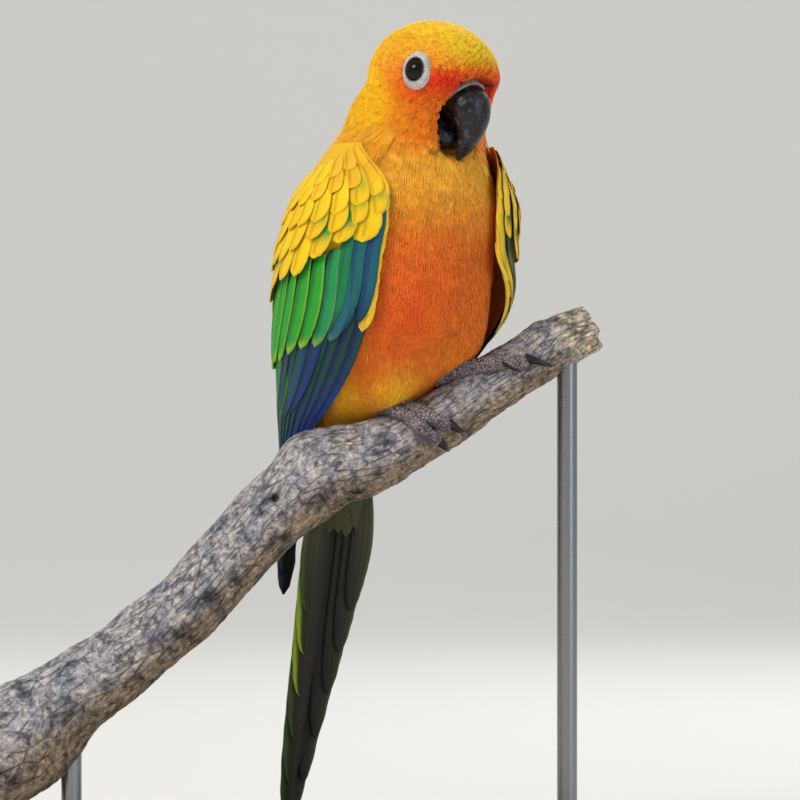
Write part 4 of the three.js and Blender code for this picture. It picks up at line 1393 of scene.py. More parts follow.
        if tier.name == "primary":
            base, layers = "#122458", [
                ("#080B1C", inner),
                ("#14582E", 0.7 * step(-0.3, -0.75, w) * step(0.75, 0.4, t)),
                ("#184CB8", 0.8 * step(-0.45, -0.85, w) * step(0.35, 0.8, t)),
            ]
        elif tier.name == "secondary":
            base, layers = "#12852A", [
                ("#0F2258", 0.8 * step(0.0, 0.4, w)),
                ("#0A1230", step(0.74, 0.92, t) * step(-0.9, -0.2, w)),
                ("#0C1A4C", 0.9 * step(0.24, 0.1, share)),
                ("#12388E", 0.6 * step(0.24, 0.1, share) * step(-0.1, -0.8, w)),
                ("#BFD62C", edge * step(0.8, 0.98, share) * step(0, -0.3, w)),
            ]
        elif tier.name == "greater":
            base, layers = "#1FA428", [
                ("#0B7430", 0.7 * inner),
                ("#073E48", 0.75 * step(0.4, 0.9, w) * step(0.95, 0.6, t)),
                ("#9ED22C", 0.85 * step(0.86, 0.99, t) + 0.6 * edge * step(0.3, -0.3, w)),
                ("#0D4C86", 0.8 * step(0.16, 0.0, share)),
            ]
        elif tier.name == "primary_covert":
            base, layers = "#0F5C70", [
                ("#0D3478", 0.8 * inner),
                ("#12803C", 0.8 * step(0.3, 0.9, share)),
                ("#081A44", 0.6 * step(0.7, 1.0, t)),
            ]
        elif tier.name == "fringe":
            base, layers = "#FFD000", [
                ("#FFE36A", 0.5 * step(0.3, 1.0, t) * draw),
                ("#F7A11C", 0.5 * step(0.6, 0.2, t)),
            ]
        else:
            green = (draw > 0.55) * step(0.8, 0.4, t) * step(0.95, 0.5, np.abs(w + 0.2))
            lower = {"median": 1.0, "lesser_4": 0.75, "lesser_3": 0.5}.get(tier.name, 0.15)
            base, layers = "#FFD400", [
                ("#FFBE00", 0.6 * draw),
                ("#FFA812", 0.5 * step(0.5, 0.0, share) * (tier.name in ("lesser_1", "lesser_2"))),
                ("#2E962A", green * lower),
            ]
            if self.side is Side.LEFT:
                smudge = (draw > 0.3) * step(0.85, 0.45, t) * step(0.95, 0.4, np.abs(w))
                layers.append(("#33691E", 0.9 * smudge * np.maximum(lower, 0.6)))
                layers.append(("#2F4A1C", 0.8 * step(0.35, 0.8, share) * step(0.95, 0.6, t)))
            layers.append(("#FFE436", 0.4 * edge))
        colour = hex_colour(base)
        for text, mask in layers:
            colour = laid(colour, text, mask)
        if self.side is Side.LEFT and tier.name in ("primary_covert", "greater"):
            smudge = step(-0.1, 0.35, noise(part["points"], 6.0, 21))
            patch = laid(hex_colour("#F0C814"), "#2C5A1A", 0.9 * smudge)
            patch = laid(patch, "#1E2E1A", 0.8 * step(0.25, 0.5, share))
            colour = mix(colour, patch, (0.95 * step(8, 22, part["z"]))[:, None])
        colour = colour * (1 + 0.07 * grain)[:, None]
        under = (part["face"] < 0.5)[:, None]
        grey = colour.mean(1, keepdims=True) * np.array([1.0, 1.0, 0.95])
        colour = np.where(under, mix(grey, colour, 0.45) * 0.7, colour)
        shaft = np.exp(-((part["a"] / 0.3) ** 2)) * (part["t"] < 0.93) * 0.35
        return np.clip(colour * (1 - shaft[:, None]), 0, 1)

    def build(self, material: Material) -> list[Piece]:
        """Makes the arm and every tier.

        Args:
            material: Finish of the feathers.

        Returns:
            The pieces.
        """
        pieces = [self.core(material)]
        for number, tier in enumerate(self.tiers):
            rng = np.random.default_rng(40 + number + (100 if self.side is Side.LEFT else 0))
            part = self.tier_arrays(tier, rng)
            ring = 2 * tier.columns
            faces = many_faces(grid_faces(tier.rows, ring, around=True), tier.rows * ring, tier.count)
            root = np.repeat(np.arange(tier.count), tier.rows * ring)
            place = np.stack([0.05 + 0.08 * root, np.full(len(root), 0.05 + 0.09 * number)], -1)
            bake = place + 0.003 * np.stack([part["w"] * 0.5 + 0.5, part["t"]], -1)
            pieces.append(
                make_piece(
                    f"{tier.name}_feathers_{self.side.label}", part["points"], faces, Space.BIRD, material,
                    colour=self.tier_colours(tier, part),
                    vane=np.stack([part["a"], part["s"]], -1), bake=bake,
                )
            )
        return pieces


@dataclass
class Tail:
    """Twelve graduated tail feathers in a narrow fan that hangs behind the perch."""

    pairs: tuple[tuple[float, float, float, float], ...] = (
        (-146, 1.8, 11.5, 3.8), (-133, 3.2, 11.5, 2.2), (-117, 4.7, 11, 0.6), (-101, 6.4, 10.5, -1),
        (-86, 8, 10, -2.6), (-71, 9.6, 9.5, -4.2),
    )
    rows: int = 60
    columns: int = 13
    thick: float = 0.45

    def feather(self, pair: tuple[float, float, float, float], side: int) -> tuple[Array, dict[str, Array]]:
        """One closed vane: it hangs from the root and leans back, its sideways place opens as a sine of its
        length, and it is cambered with a raised shaft.

        Args:
            pair: Tip height, spread, width and depth of the pair.
            side: -1 or 1.

        Returns:
            Points, and each point's place in the feather.
        """
        tip, spread, width, depth = pair
        t = np.linspace(0, 1, self.rows)[:, None]
        w, face = vane_ring(self.columns)
        w, face = w[None, :], face[None, :]
        z = TAIL_TOP - (TAIL_TOP - tip) * t
        fan = 0.55 + 0.62 * np.sin(np.minimum(1, t * 1.5) * np.pi / 2) - 0.2 * t * t
        y = TAIL_ROOT_Y + (TAIL_TOP - z) * TAIL_LEAN + depth * np.minimum(1, 0.3 + t * 3) + side * 0.4
        half = width / 2 * vane_half_width(t, 0.5) * (
            1 + 0.04 * np.sin(t * 70) * np.abs(w) * step(0.6, 0.95, t)
        )
        a = w * np.maximum(half, 0.03)
        shaft = 0.35 * np.exp(-((a / 0.4) ** 2)) * step(1.0, 0.85, t)
        y = y + 0.9 * (w**2) * np.minimum(1, half / 4) - (1 - face) * (self.thick + shaft) + face * shaft
        points = np.stack([side * spread * fan + a, y, z + 0 * w - 0.4 * np.abs(a) * (1 - t)], axis=-1)
        shape = points.shape[:2]
        keys = {"t": t, "w": w, "a": a, "s": TAIL_TOP - z, "face": face}
        return points.reshape(-1, 3), {
            key: np.broadcast_to(value, shape).reshape(-1) for key, value in keys.items()
        }

    def build(self, material: Material) -> Piece:
        """Makes the tail: dark olive grey below with yellow-green edges, olive green above with bluish
        tips.

        Args:
            material: Finish of the feathers.

        Returns:
            The piece, in place of the tail node.
        """
        points, vane, bake, colours = [], [], [], []
        for number, pair in enumerate(self.pairs):
            for side in (-1, 1):
                p, part = self.feather(pair, side)
                t, w = part["t"], part["w"]
                below = laid(hex_colour("#2B2B26"), "#4C4922", 0.8 * np.exp(-((w / 0.5) ** 2)))
                below = laid(below, "#1A1B1D", 0.6 * step(0.5, 1.0, t))
                strong = 0.95 if side < 0 and number in (3, 4) else 0.15
                below = laid(below, "#A4C020", strong * step(0.55, 0.8, w * side) * step(0.15, 0.35, t))
                above = laid(hex_colour("#6E7A22"), "#2C5A32", step(0.1, 0.7, t))
                above = laid(above, "#1E3A6A", step(0.7, 1.0, t))
                colour = np.where((part["face"] > 0.5)[:, None], above, below)
                colour = colour * (
                    1 + 0.12 * noise(p, 3.0) - 0.3 * np.exp(-((part["a"] / 0.3) ** 2))
                )[:, None]
                points.append(p)
                vane.append(np.stack([part["a"], part["s"]], -1))
                bake.append(
                    np.array([0.05 + 0.07 * (2 * number + (side > 0)), 0.96]) + 0.003 * np.stack([w, t], -1)
                )
                colours.append(np.clip(colour, 0, 1))
        ring = 2 * self.columns
        faces = many_faces(grid_faces(self.rows, ring, around=True), self.rows * ring, 2 * len(self.pairs))
        piece = make_piece(
            "tail_feathers", np.concatenate(points), faces, Space.BIRD, material,
            colour=np.concatenate(colours), vane=np.concatenate(vane), bake=np.concatenate(bake),
        )
        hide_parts("tail")
        return piece

    def root(self, form: BirdForm, material: Material) -> Piece:
        """The covert feathers over the tail's root: long soft vanes in rings that close the gap to the
        body.

        Args:
            form: The bird's flesh.
            material: Finish of the feathers.

        Returns:
            The piece.
        """
        rng = np.random.default_rng(70)
        rings, count = 6, 16
        rows, columns = 14, 5
        each = rows * 2 * columns
        level = np.repeat(np.arange(rings), count)
        turn = (np.tile(np.arange(count), rings) + 0.5 * (level % 2)) / count * 2 * np.pi
        number = len(level)
        t = np.linspace(0, 1, rows)[None, :, None]
        w, face = vane_ring(columns)
        w, face = w[None, None, :], face[None, None, :]
        start = (mix(6.0, -19.0, level / (rings - 1)) + rng.normal(0, 0.8, number))[:, None, None]
        long = 23.0 + rng.normal(0, 1.5, number)[:, None, None]
        z = start - long * t
        narrow = np.clip((6 - z) / 60, 0, 1)
        half_x = mix(14.5, 7.0, narrow**0.7)
        half_y = mix(8.5, 2.6, narrow**0.8)
        a = w * 3.4 * np.maximum(vane_half_width(t, 0.5), 0.02)
        angle = turn[:, None, None] + a / 9.0
        lift = 0.4 + 0.9 * t + 0.25 * face
        middle = TAIL_ROOT_Y - 0.8 + (TAIL_TOP - z) * TAIL_LEAN - 1.0 * step(-14, 4, z)
        across, behind = (half_x + lift) * np.sin(angle), middle - (half_y + lift) * np.cos(angle)
        points = np.stack(np.broadcast_arrays(across, behind, z), axis=-1)

        def flat(values: Array) -> Array:
            """Values spread over all points, in their order."""
            return np.broadcast_to(values, points.shape[:3]).reshape(-1)

        front = flat(np.cos(angle) > 0)
        colour = np.where(front[:, None], hex_colour("#9A8424"), hex_colour("#A8A81E"))
        colour = laid(colour, "#3A3A22", 0.94 * flat(step(2, -20, z)))
        colour = colour * (1 + 0.08 * noise(points.reshape(-1, 3), 3.0))[:, None]
        vane = np.stack([flat(a), flat(t * long)], axis=-1)
        faces = many_faces(grid_faces(rows, 2 * columns, around=True), each, number)
        place = np.stack([(turn / (2 * np.pi)) % 1, 0.2 - 0.02 * level], -1)
        bake = np.repeat(place, each, axis=0) + 0.003 * np.stack([flat(w * 0.5 + 0.5), flat(t)], -1)
        return make_piece(
            "tail_coverts", points.reshape(-1, 3), faces, Space.BIRD, material,
            colour=np.clip(colour, 0, 1), vane=vane, bake=bake,
        )


# Bill, eyes


def swept(centres: Array, sides: Array, ups: Array, wide: Array, high: Array, columns: int) -> Array:
    """An elliptical profile carried along a path: at each place the profile runs round as cosine times the
    width to the side and sine times the height upwards.

    Args:
        centres: Path points.
        sides: Sideways directions.
        ups: Upward directions.
        wide: Half widths, for each place or for each place and column.
        high: Half heights, in the same way.
        columns: Points round the profile.

    Returns:
        Points as rows by columns by three.
    """
    angle = np.linspace(0, 2 * np.pi, columns, endpoint=False)
    wide, high = (np.asarray(v, float) for v in (wide, high))
    wide = wide[:, None] if wide.ndim == 1 else wide
    high = high[:, None] if high.ndim == 1 else high
    across = sides[:, None, :] * (wide * np.cos(angle))[..., None]
    return centres[:, None, :] + across + ups[:, None, :] * (high * np.sin(angle))[..., None]


def capped(points: Array) -> tuple[Array, Array]:
    """Triangles of a tube of rings with a fan over each end.

    Args:
        points: Rings of points, as rows by columns by three.

    Returns:
        All points with the two end middles, and the triangles.
    """
    rows, columns = points.shape[:2]
    quads = grid_faces(rows, columns, around=True)
    flat = np.concatenate([points.reshape(-1, 3), points[0].mean(0)[None], points[-1].mean(0)[None]])
    ring = np.arange(columns)
    after = (ring + 1) % columns
    last = (rows - 1) * columns
    faces = np.concatenate(
        [
            quads[:, [0, 1, 2]], quads[:, [0, 2, 3]],
            np.stack([np.full_like(ring, rows * columns), after, ring], -1),
            np.stack([np.full_like(ring, rows * columns + 1), last + ring, last + after], -1),
        ]
    )
    return flat, faces


class BillPart(Enum):
    """Which piece of the bill: its stations give top and bottom points and half width."""

    UPPER = (
        (13, 1.6, 6.5, -9.5, 6.9), (19, -0.4, 9.3, -10.6, 7.7), (22.2, -3.2, 11.6, -12, 7.8),
        (23.9, -7.2, 13.2, -13.8, 7.2), (24.1, -11.8, 14, -16, 6.2), (22.8, -16.7, 14.2, -18.8, 4.9),
        (20.2, -20.9, 13.8, -21.8, 3.5), (17.1, -24.4, 13.3, -24.3, 2), (14.3, -26.8, 13, -26.4, 0.6),
    )
    LOWER = (
        (2, -8, 1, -17.5, 7.8), (6, -10.4, 4, -20.8, 8.4), (9.6, -13, 7.8, -22.6, 8),
        (12.4, -15.6, 10.9, -22.6, 6.5), (14.1, -18, 12.8, -21.2, 3.8),
    )
    CERE = ((13.5, 2.8, 8.5, -9, 7.5), (17, 1.8, 9.8, -9.6, 8), (19.2, 0.3, 11, -10, 7.9))


@dataclass
class Bill:
    """Hooked upper half with a cutting edge, blunt lower half, and the cere with its nostrils."""

    rows: int = 90
    columns: int = 72

    def shape(self, part: BillPart) -> Array:
        """Rings of a part. Each ring is an ellipse between the top and bottom points; the upper half is
        drawn to a soft ridge along the top and its cutting edge is notched.

        Args:
            part: Which piece.

        Returns:
            Points as rows by columns by three, in the head's frame.
        """
        rows = [(i, *station) for i, station in enumerate(part.value)]
        table = Stations("i topF topU lowF lowU w", rows)
        i = np.linspace(0, len(rows) - 1, self.rows)
        value = {key: table(key, i) for key in ("topF", "topU", "lowF", "lowU", "w")}
        top = np.stack([0 * i, -value["topF"], value["topU"]], -1)
        low = np.stack([0 * i, -value["lowF"], value["lowU"]], -1)
        centre, half = (top + low) / 2, (top - low) / 2
        high = np.linalg.norm(half, axis=1)
        angle = np.linspace(0, 2 * np.pi, self.columns, endpoint=False)
        share = i / (len(rows) - 1)
        wide = np.broadcast_to(value["w"][:, None], (self.rows, self.columns)).copy()
        tall = np.broadcast_to(high[:, None], (self.rows, self.columns)).copy()
        rise = np.sin(angle)[None, :]
        if part is BillPart.UPPER:
            wide *= 1 - 0.16 * np.clip(rise, 0, 1) ** 2
            notch = np.exp(-(((share - 0.5) / 0.05) ** 2))[:, None]
            tall *= 1 - 0.12 * notch * (rise < -0.5)
        if part is BillPart.LOWER:
            wide *= 1 + 0.05 * np.clip(rise, 0, 1)
        return swept(
            centre, np.broadcast_to([1.0, 0, 0], centre.shape), unit(half), wide, tall, self.columns
        )

    def build(self, horn: Material, skin: Material) -> list[Piece]:
        """Makes the three pieces in place of their nodes.

        Args:
            horn: Finish of both halves.
            skin: Finish of the cere.

        Returns:
            The pieces.
        """
        pieces = []
        for part, name, title in (
            (BillPart.UPPER, "bill_upper", "bill_upper_horn"),
            (BillPart.LOWER, "bill_lower", "bill_lower_horn"), (BillPart.CERE, "cere", "cere_skin"),
        ):
            bare = part is BillPart.CERE
            points = self.shape(part)
            if bare:
                x, forward = points[..., 0], -points[..., 1]
                nostrils = sum(np.exp(-((x - s * 3.5) ** 2) - (forward - 18.2) ** 2) for s in (-1, 1))
                depth = nostrils * (points[..., 2] > 0) * 1.3
                points = points - np.array([0, -0.7, 1.0]) * depth[..., None]
            waves = noise(points, 2.2)[..., None] * 0.06 + noise(points, 0.8)[..., None] * 0.03
            flat, faces = capped(points + waves)
            piece = make_piece(
                title, HEAD.to_bird(flat), faces, Space.BIRD, skin if bare else horn,
                colour=np.full((len(flat), 3), 0.55 if bare else 1.0),
            )
            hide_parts(name)
            pieces.append(piece)
        return pieces


@dataclass
class Eyes:
    """Eyeballs, the bare ring round each, and the dark rim of the lids."""

    radius: float = 4.8
    sunk: float = 2.9

    def on_head(self, side: Side, across: Array, up: Array, out: Array) -> Array:
        """Points given by their place on the eye's own axes, in the bird's frame."""
        at, look, level, rise = HEAD.eye_axes(side)
        return HEAD.to_bird(at + across[..., None] * level + up[..., None] * rise + out[..., None] * look)

    def ball(self, side: Side, glaze: Material) -> Piece:
        """A sphere by latitude and turn about the line of sight: black pupil and a thin dark brown iris."""
        rows, columns = 64, 64
        lat = np.linspace(0, np.pi, rows)[:, None]
        turn = np.linspace(0, 2 * np.pi, columns, endpoint=False)[None, :]
        r = self.radius * np.sin(lat)
        bulge = 0.35 * np.exp(-((r / 3.0) ** 2)) * (lat < 1.5)
        points = self.on_head(
            side, r * np.cos(turn), r * np.sin(turn),
            self.radius * np.cos(lat) - self.sunk + bulge + 0 * turn
        )
        away = np.broadcast_to(r, points.shape[:2]).reshape(-1)
        front = np.broadcast_to(lat < np.pi / 2, points.shape[:2]).reshape(-1)
        iris = step(2.6, 2.8, away) * step(3.9, 3.5, away) * front
        colour = laid(hex_colour("#050404"), "#2A1F1B", iris)
        piece = make_piece(
            f"eye_ball_{side.label}", points.reshape(-1, 3), grid_faces(rows, columns, around=True),
            Space.BIRD, glaze, colour=colour,
        )
        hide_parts(f"eye_{side.label}")
        return piece

    def bare_ring(self, side: Side, skin: Material) -> Piece:
        """The bare skin as a turned profile with fine radial wrinkles, and the lids' dark rim at its inner
        edge. Its outline is an oval that is taller than it is wide."""
        columns = 160
        profile = np.array(
            [
                (6.6, -1.8), (6.2, -0.8), (5.9, -0.1), (5.6, 0.25), (5.2, 0.45), (4.9, 0.65), (4.5, 0.9),
                (4.2, 1.15), (3.95, 1.2), (3.75, 1.0), (3.7, 0.6), (4.0, -0.1),
            ]
        )
        turn = np.linspace(0, 2 * np.pi, columns, endpoint=False)[None, :]
        r, h = profile[:, :1], profile[:, 1:]
        wrinkle = 0.05 * np.sin(turn * 34 + r * 3) * step(4.3, 5.1, r) + 0.05 * np.sin(r * 9)
        points = self.on_head(side, r * HEAD.eye_narrow * np.cos(turn), r * np.sin(turn), h + wrinkle)
        rim = step(4.5, 4.15, np.broadcast_to(r, points.shape[:2]).reshape(-1))
        patch = 0.5 + 0.5 * noise(points, 2.4).reshape(-1)
        colour = laid(laid(hex_colour("#FFFFFF"), "#BDB7B4", 0.5 * patch), "#4A4241", rim)
        piece = make_piece(
            f"eye_lids_{side.label}", points.reshape(-1, 3), grid_faces(len(profile), columns, around=True),
            Space.BIRD, skin, colour=colour,
        )
        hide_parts(f"eye_ring_{side.label}")
        return piece

    def build(self, glaze: Material, skin: Material) -> list[Piece]:
        """Makes both eyes."""
        return [piece for side in Side for piece in (self.ball(side, glaze), self.bare_ring(side, skin))]


# Perch and feet


@dataclass
class Branch:
    """The cut branch: a bent, tapering limb with a knob, hollows, and a broken end."""

    stations: tuple[tuple[float, float, float], ...] = (
        (-150, -124, 19.5), (-134, -112, 19), (-115, -98, 14.2), (-93.5, -83.5, 12.5), (-75.5, -68, 12.2),
        (-45.7, -37, 12.4), (-27, -21, 14.2), (-12, -16.6, 12.8), (4, -9, 10.6), (25, 4, 9.9),
        (44, 16.5, 9.6), (58.3, 25.2, 9.1), (68, 29.5, 8),
    )
    bumps: tuple[tuple[float, float, float, float, float], ...] = (
        (0.585, 0.15, 2.6, 0.02, 0.5), (0.5, 0.3, 0.8, 0.03, 0.6), (0.93, 0.2, 1.4, 0.02, 0.6),
        (0.1, 3.3, 3.2, 0.05, 0.9), (0.08, -1.2, -2.6, 0.025, 0.45), (0.3, 0.2, 0.9, 0.04, 0.7),
    )
    rows: int = 560
    columns: int = 150

    def __post_init__(self) -> None:
        """Works out the centre line: a centripetal curve through the stations, sampled finely by its
        length."""
        flat = np.array(self.stations, float)
        turn = math.radians(PERCH_PLAN_TURN)
        p = np.stack(
            [flat[:, 0] * math.cos(turn), flat[:, 0] * math.sin(turn), PERCH_HEIGHT + flat[:, 1]], -1
        )
        ends = np.concatenate([[2 * p[0] - p[1]], p, [2 * p[-1] - p[-2]]])
        gap = np.linalg.norm(np.diff(ends, axis=0), axis=1) ** 0.5
        s = np.linspace(0, len(p) - 1, 4001)[:-1]
        i = s.astype(int)
        t = (s - i)[:, None]
        a, b, c, d = (ends[i + k] for k in range(4))
        g0, g1, g2 = (gap[i + k][:, None] for k in range(3))
        t1 = ((b - a) / g0 - (c - a) / (g0 + g1) + (c - b) / g1) * g1
        t2 = ((c - b) / g1 - (d - b) / (g1 + g2) + (d - c) / g2) * g1
        line = b + t1 * t + (-3 * b + 3 * c - 2 * t1 - t2) * t**2 + (2 * b - 2 * c + t1 + t2) * t**3
        self.line = np.concatenate([line, p[-1:]])
        run = np.concatenate([[0], np.cumsum(np.linalg.norm(np.diff(self.line, axis=0), axis=1))])
        self.length = float(run[-1])
        self.share = run / run[-1]
        self.place = np.concatenate([s, [len(p) - 1.0]])
        self.radii = flat[:, 2]

    def radius(self, along: Array) -> Array:
        """Plain radius at a share of the length, straight between stations."""
        return np.interp(np.interp(along, self.share, self.place), np.arange(len(self.radii)), self.radii)

    def relief(self, along: Array, around: Array) -> Array:
        """How far the bark stands off the plain radius: slow waves and the knobs as bell curves."""
        height = 0.35 * np.sin(around * 3 + along * 31) + 0.25 * np.sin(around * 5 - along * 57)
        for at, turn, rise, spread, wide in self.bumps:
            away = np.arctan2(np.sin(around - turn), np.cos(around - turn))
            height = height + rise * np.exp(-(((along - at) / spread) ** 2 + (away / wide) ** 2))
        return height

    def point(self, along: Array, around: Array, off: Array | float = 0.0) -> Array:
        """Points of the bark.

        Args:
            along: Shares of the branch's length.
            around: Angles from the top towards the front.
            off: How far the points stand off the bark.

        Returns:
            Points in the model's frame.
        """
        along, around, off = np.broadcast_arrays(along, around, off)
        h = 0.0015
        at, after, before = (
            np.stack([np.interp(place, self.share, self.line[:, k]) for k in range(3)], -1)
            for place in (along, along + h, along - h)
        )
        ahead = unit(after - before)
        front = unit(np.cross(ahead, np.array([0.0, 0.0, 1.0])))
        up = unit(np.cross(front, ahead))
        radius = self.radius(along) + self.relief(along, around) + off
        return at + up * (radius * np.cos(around))[..., None] + front * (radius * np.sin(around))[..., None]

    def build(self, bark: Material) -> Piece:
        """Makes the branch: the solid's own form with bark ridges, pits and a splintered end.

        Args:
            bark: Finish of the bark.

        Returns:
            The piece, in place of the perch node.
        """
        along = np.linspace(0, 1, self.rows)[:, None]
        around = np.linspace(0, 2 * np.pi, self.columns, endpoint=False)[None, :]
        base = self.point(along, around)
        ridges = 0.28 * noise(base, 5.0) + 0.22 * noise(base, 2.0, 3) + 0.1 * noise(base, 0.9, 5)
        stretched = np.stack([around * 14 + 0 * along, along * 60 + 0 * around, 0 * base[..., 0]], -1)
        cracks = -0.5 * step(0.55, 0.9, np.abs(noise(stretched, 2.6, 9)))
        hole = -3.0 * np.exp(-(((along - 0.527) / 0.006) ** 2 + ((around - 1.15) / 0.12) ** 2))
        points = self.point(along, around, ridges + cracks + hole)
        jag = step(0.985, 1.0, along) * (1.6 * noise(base, 3.0, 12) - 0.8)
        points = points + jag[..., None] * np.array([0.88, 0.14, 0.45])
        flat, faces = capped(points)
        tone = np.ones((self.rows, self.columns, 3))
        down = step(0.2, -0.7, np.cos(around))[..., None]
        tone = mix(
            hex_colour("#F4F6FF") * 1.35 * tone, hex_colour("#F0D2A2") * 1.15,
            down * np.ones_like(tone) * 0.85
        )
        bare = step(0.92, 0.97, along + 0.03 * noise(base, 6.0, 4))[..., None]
        tone = mix(tone, hex_colour("#FFF3D8") * 1.9, bare * 0.9)
        # Painted shade: the colour darkens to 0.15 at the bottom of the pit.
        tone = tone * (1 - 0.85 * np.clip(-hole / 2.0, 0, 1))[..., None]
        colour = np.concatenate([tone.reshape(-1, 3), [hex_colour("#CDB68C"), hex_colour("#F0DFBB")]])
        uv = np.stack(np.broadcast_arrays(around * 12, along * self.length), -1)
        uv = np.concatenate([uv.reshape(-1, 2), [[0, 0], [0, self.length]]])
        piece = make_piece(
            "branch", flat, faces, Space.MODEL, bark, colour=np.clip(colour, 0, 1.8), vane=uv
        )
        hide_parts("perch")
        return piece


@dataclass(frozen=True)
class Foot:
    """One foot: where it stands along the branch, and how far each toe goes round it and drifts along
    it."""

    side: Side
    x: float
    tilt: float
    ankle: tuple[float, float, float]
    toes: tuple[tuple[float, float], ...]
    toe_radius: float = 2.9
    shank_radius: float = 3.3
    claw_turn: float = 34.0

    def tube(self, line: Array, radius: Array, columns: int, relief: float, out: Array) -> Array:
        """Rings along a line, with cross scales: a saw wave along the top makes the plates' overlapping
        edges.

        Args:
            line: Centre points.
            radius: Radius at each.
            columns: Points round.
            relief: Height of the plates in millimetres.
            out: Direction away from the branch at each point.

        Returns:
            Points as rows by columns by three.
        """
        ahead = unit(np.gradient(line, axis=0))
        side = unit(np.cross(ahead, out))
        up = np.cross(side, ahead)
        run = np.concatenate([[0], np.cumsum(np.linalg.norm(np.diff(line, axis=0), axis=1))])
        angle = np.linspace(0, 2 * np.pi, columns, endpoint=False)[None, :]
        saw = ((run / 1.55) % 1.0)[:, None]
        top = step(-0.25, 0.45, np.sin(angle))
        plates = relief * (saw**2 - 0.4) * top
        r = radius[:, None] + plates
        points = swept(line, side, up, r, r, columns)
        return points + noise(points, 1.0)[..., None] * up[:, None, :] * 0.08

    def build(self, branch: Branch, skin: Material, horn: Material) -> list[Piece]:
        """Makes the foot and its claws in place of their nodes.

        Args:
            branch: What it stands on.
            skin: Finish of the scales.
            horn: Finish of the claws.

        Returns:
            The pieces.
        """
        stands = float(np.interp(self.x, branch.line[:, 0], branch.share))
        heel = branch.point(np.array(stands), np.array(math.radians(self.tilt)), self.toe_radius * 0.9)
        ankle = to_model(np.array(self.ankle), Space.BIRD) * 1000
        middle = mix(ankle, heel, 0.55) + [0, 0, 1]
        t = np.linspace(0, 1, 60)[:, None]
        shank = (1 - t) ** 2 * ankle + 2 * t * (1 - t) * (2 * middle - (ankle + heel) / 2) + t**2 * heel
        front = np.broadcast_to([0.3, -1.0, 0.1], shank.shape)
        parts = [self.tube(shank, self.shank_radius * mix(1.0, 1.12, t[:, 0]), 40, 0.22, front)]
        claws = []
        for turn, drift in self.toes:
            s = np.linspace(0, 1, 110)
            along = stands + drift * s / branch.length
            around = np.radians(mix(self.tilt, turn, s))
            line = branch.point(along, around, self.toe_radius * 0.86)
            out = unit(line - branch.point(along, around, -4.0))
            knuckle = 1 + 0.09 * np.cos(s * 2 * np.pi * 3.2 + 0.4)
            radius = self.toe_radius * mix(1.08, 0.8, s) * knuckle * np.sqrt(
                np.clip((1.015 - s) * 14, 0.05, 1)
            )
            parts.append(self.tube(line, radius, 40, 0.24, out))
            q = np.linspace(0, 1, 60)
            sign = math.copysign(1, turn)
            along = stands + drift * (1 + 0.28 * q) / branch.length
            around = np.radians(mix(turn - sign * 8, turn + sign * self.claw_turn, q))
            off = mix(self.toe_radius * 0.95, 0.55, q**1.6) + 1.25 * np.sin(np.pi * q)
            line = branch.point(along, around, off)
            out = unit(line - branch.point(along, around, -4.0))
            claws.append(self.tube(line, mix(1.9, 0.22, q**0.9), 28, 0.0, out))
        made = []
        for name, group, material, slot in (
            (f"foot_scales_{self.side.label}", parts, skin, "foot"),
            (f"claws_{self.side.label}", claws, horn, "claw"),
        ):
            points, faces, start = [], [], 0
            for rings in group:
                flat, triangles = capped(rings)
                points.append(flat)
                faces.append(triangles + start)
                start += len(flat)
            joined = np.concatenate(points)
            plain = np.ones((len(joined), 3))
            made.append(
                make_piece(name, joined, np.concatenate(faces), Space.MODEL, material, colour=plain)
            )
        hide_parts(f"foot_{self.side.label}")
        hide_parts(*[f"claw_{self.side.label}_{i}" for i in range(1, 5)])
        return made


# Stand and studio


@dataclass
class Stand:
    """The base and rods: the CAD solids with their finishes."""

    def build(self, wood: Material, steel: Material) -> None:
        """Puts the finishes on the CAD nodes.

        Args:
            wood: Finish of the base.
            steel: Finish of the rods.
        """
        for node, material in (("stand_base", wood), ("stand_rod_1", steel), ("stand_rod_2", steel)):
            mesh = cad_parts[node].data
            mesh.materials.clear()
            mesh.materials.append(material)
            LOG.info("%s: dressed", node)


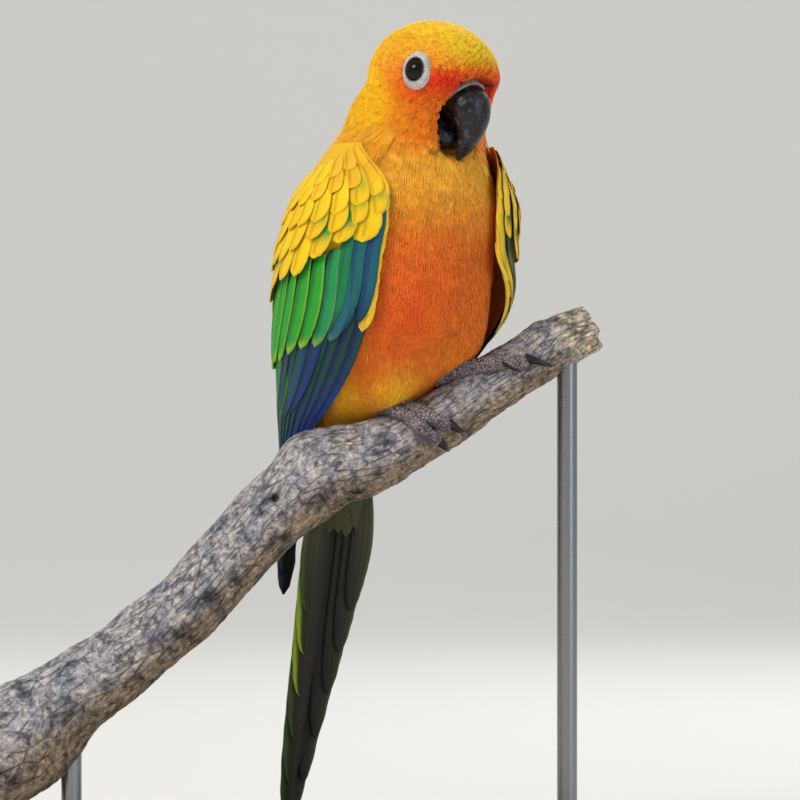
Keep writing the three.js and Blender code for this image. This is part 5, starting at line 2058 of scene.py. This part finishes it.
@dataclass
class Studio:
    """A pale sweep, soft lights, and the camera at the photograph's angle."""

    distance: float = 1.5
    height: float = 0.1653
    frame_width: float = 0.276
    sensor: float = 36.0

    def sweep(self) -> None:
        """Floor that curves up into a backdrop: a level strip, a quarter circle and a wall, carried
        sideways."""
        back, radius, top = 1.6, 1.2, 4.0
        angle = np.linspace(0, np.pi / 2, 24)
        profile = np.concatenate(
            [
                [[-3.0, 0.0], [0.0, 0.0], [back, 0.0]],
                np.stack([back + radius * np.sin(angle), radius * (1 - np.cos(angle))], -1)[1:],
                [[back + radius, top]],
            ]
        )
        across = np.linspace(-5, 5, 3)
        points = np.stack(
            np.broadcast_arrays(across[None, :], profile[:, :1], profile[:, 1:]), -1
        ).reshape(-1, 3)
        mesh = bpy.data.meshes.new("sweep")
        mesh.from_pydata(points.tolist(), [], grid_faces(len(profile), 3).tolist())
        mesh.polygons.foreach_set("use_smooth", np.ones(len(mesh.polygons), bool))
        material, tree, shader = new_material("matt_paper")
        tooth = add_node(tree, "ShaderNodeTexNoise", Scale=900.0)
        bump = add_node(tree, "ShaderNodeBump", Strength=0.05, Distance=0.0002, Height=tooth.outputs[0])
        set_inputs(tree, shader, Base_Color=rgba("#E6E4E0"), Normal=bump.outputs[0], Roughness=0.95)
        mesh.materials.append(material)
        floor = bpy.data.objects.new("sweep", mesh)
        bpy.context.scene.collection.objects.link(floor)

    def light(
        self, name: str, place: tuple[float, float, float], size: float, power: float, tint: str,
        target: tuple[float, float, float] = (0.0, 0.0, 0.19),
    ) -> None:
        """An area light that faces a point, by default the bird.

        Args:
            name: Its name.
            place: Its place in metres.
            size: Width in metres.
            power: Watts.
            tint: sRGB hex value.
            target: Point that it faces.
        """
        data = bpy.data.lights.new(name, "AREA")
        data.shape, data.size, data.energy = "DISK", size, power
        data.color = hex_colour(tint).tolist()
        lamp = bpy.data.objects.new(name, data)
        lamp.location = place
        lamp.rotation_euler = (Vector(target) - Vector(place)).to_track_quat("-Z", "Y").to_euler()
        bpy.context.scene.collection.objects.link(lamp)

    def build(self) -> None:
        """Makes the sweep, the lights and the camera."""
        self.sweep()
        self.light("key", (-0.8, -1.0, 1.3), 0.8, 17.0, "#FFF6EA")
        self.light("fill", (1.2, -1.0, 0.5), 1.1, 4.0, "#EAF1FF")
        self.light("rim", (0.5, 1.0, 1.0), 0.7, 6.0, "#FFFFFF")
        self.light("wash", (0.0, 1.0, 2.6), 2.0, 12.0, "#FFFFFF", (0.0, 2.8, 0.5))
        scene = bpy.context.scene
        world = bpy.data.worlds.new("soft_room")
        scene.world = world
        world.use_nodes = True
        set_inputs(
            world.node_tree, world.node_tree.nodes["Background"], Color=rgba("#E8ECEF"), Strength=0.6
        )
        scene.view_settings.view_transform = "Standard"
        data = bpy.data.cameras.new("camera")
        data.sensor_width = self.sensor
        data.lens = self.sensor * self.distance / self.frame_width
        camera = bpy.data.objects.new("camera", data)
        camera.location = (0.0, -self.distance, self.height)
        camera.rotation_euler = (math.pi / 2, 0.0, 0.0)
        scene.collection.objects.link(camera)
        scene.camera = camera


def main() -> None:
    """Builds every piece in order."""
    logging.basicConfig(level=logging.INFO, format="%(name)s %(message)s", stream=sys.stdout)
    Studio().build()
    Stand().build(StainedWood().build(), BrushedSteel().build())
    branch = Branch()
    branch.build(Bark().build())
    web, down = Plumage().build(), Down().build()
    form = BirdForm(Skin().inset)
    Skin().build(form, down)
    Coat().build(form, down)
    for side in Side:
        Wing(side).build(web)
    tail = Tail()
    tail.build(web)
    tail.root(form, web)
    bare = ScaledSkin("bare_skin", "#A9A29E", "#EDEAE6", "#CFC9C6", cell_mm=0.7, bump=0.25)
    Bill().build(Horn("bill_horn", "#121318", "#4A505C", "#A29C94").build(), bare.build())
    Eyes().build(EyeGlaze().build(), bare.build())
    scales = ScaledSkin("toe_scales", "#332B2F", "#75686D", "#A29396").build()
    claw = Horn("claw_horn", "#161415", "#3E3A3B", "#7A7572").build()
    right = Foot(Side.RIGHT, 1.0, -4.0, (-10.6, 8.6, 3.4), ((117, 9), (103, 15), (-84, 3), (-76, -5)))
    left = Foot(Side.LEFT, 20.5, 2.0, (14.1, -5.0, 17.0), ((60, 18), (86, 27), (-100, 3), (-90, -5)))
    for foot in (right, left):
        foot.build(branch, scales, claw)


if __name__ == "__main__":
    main()
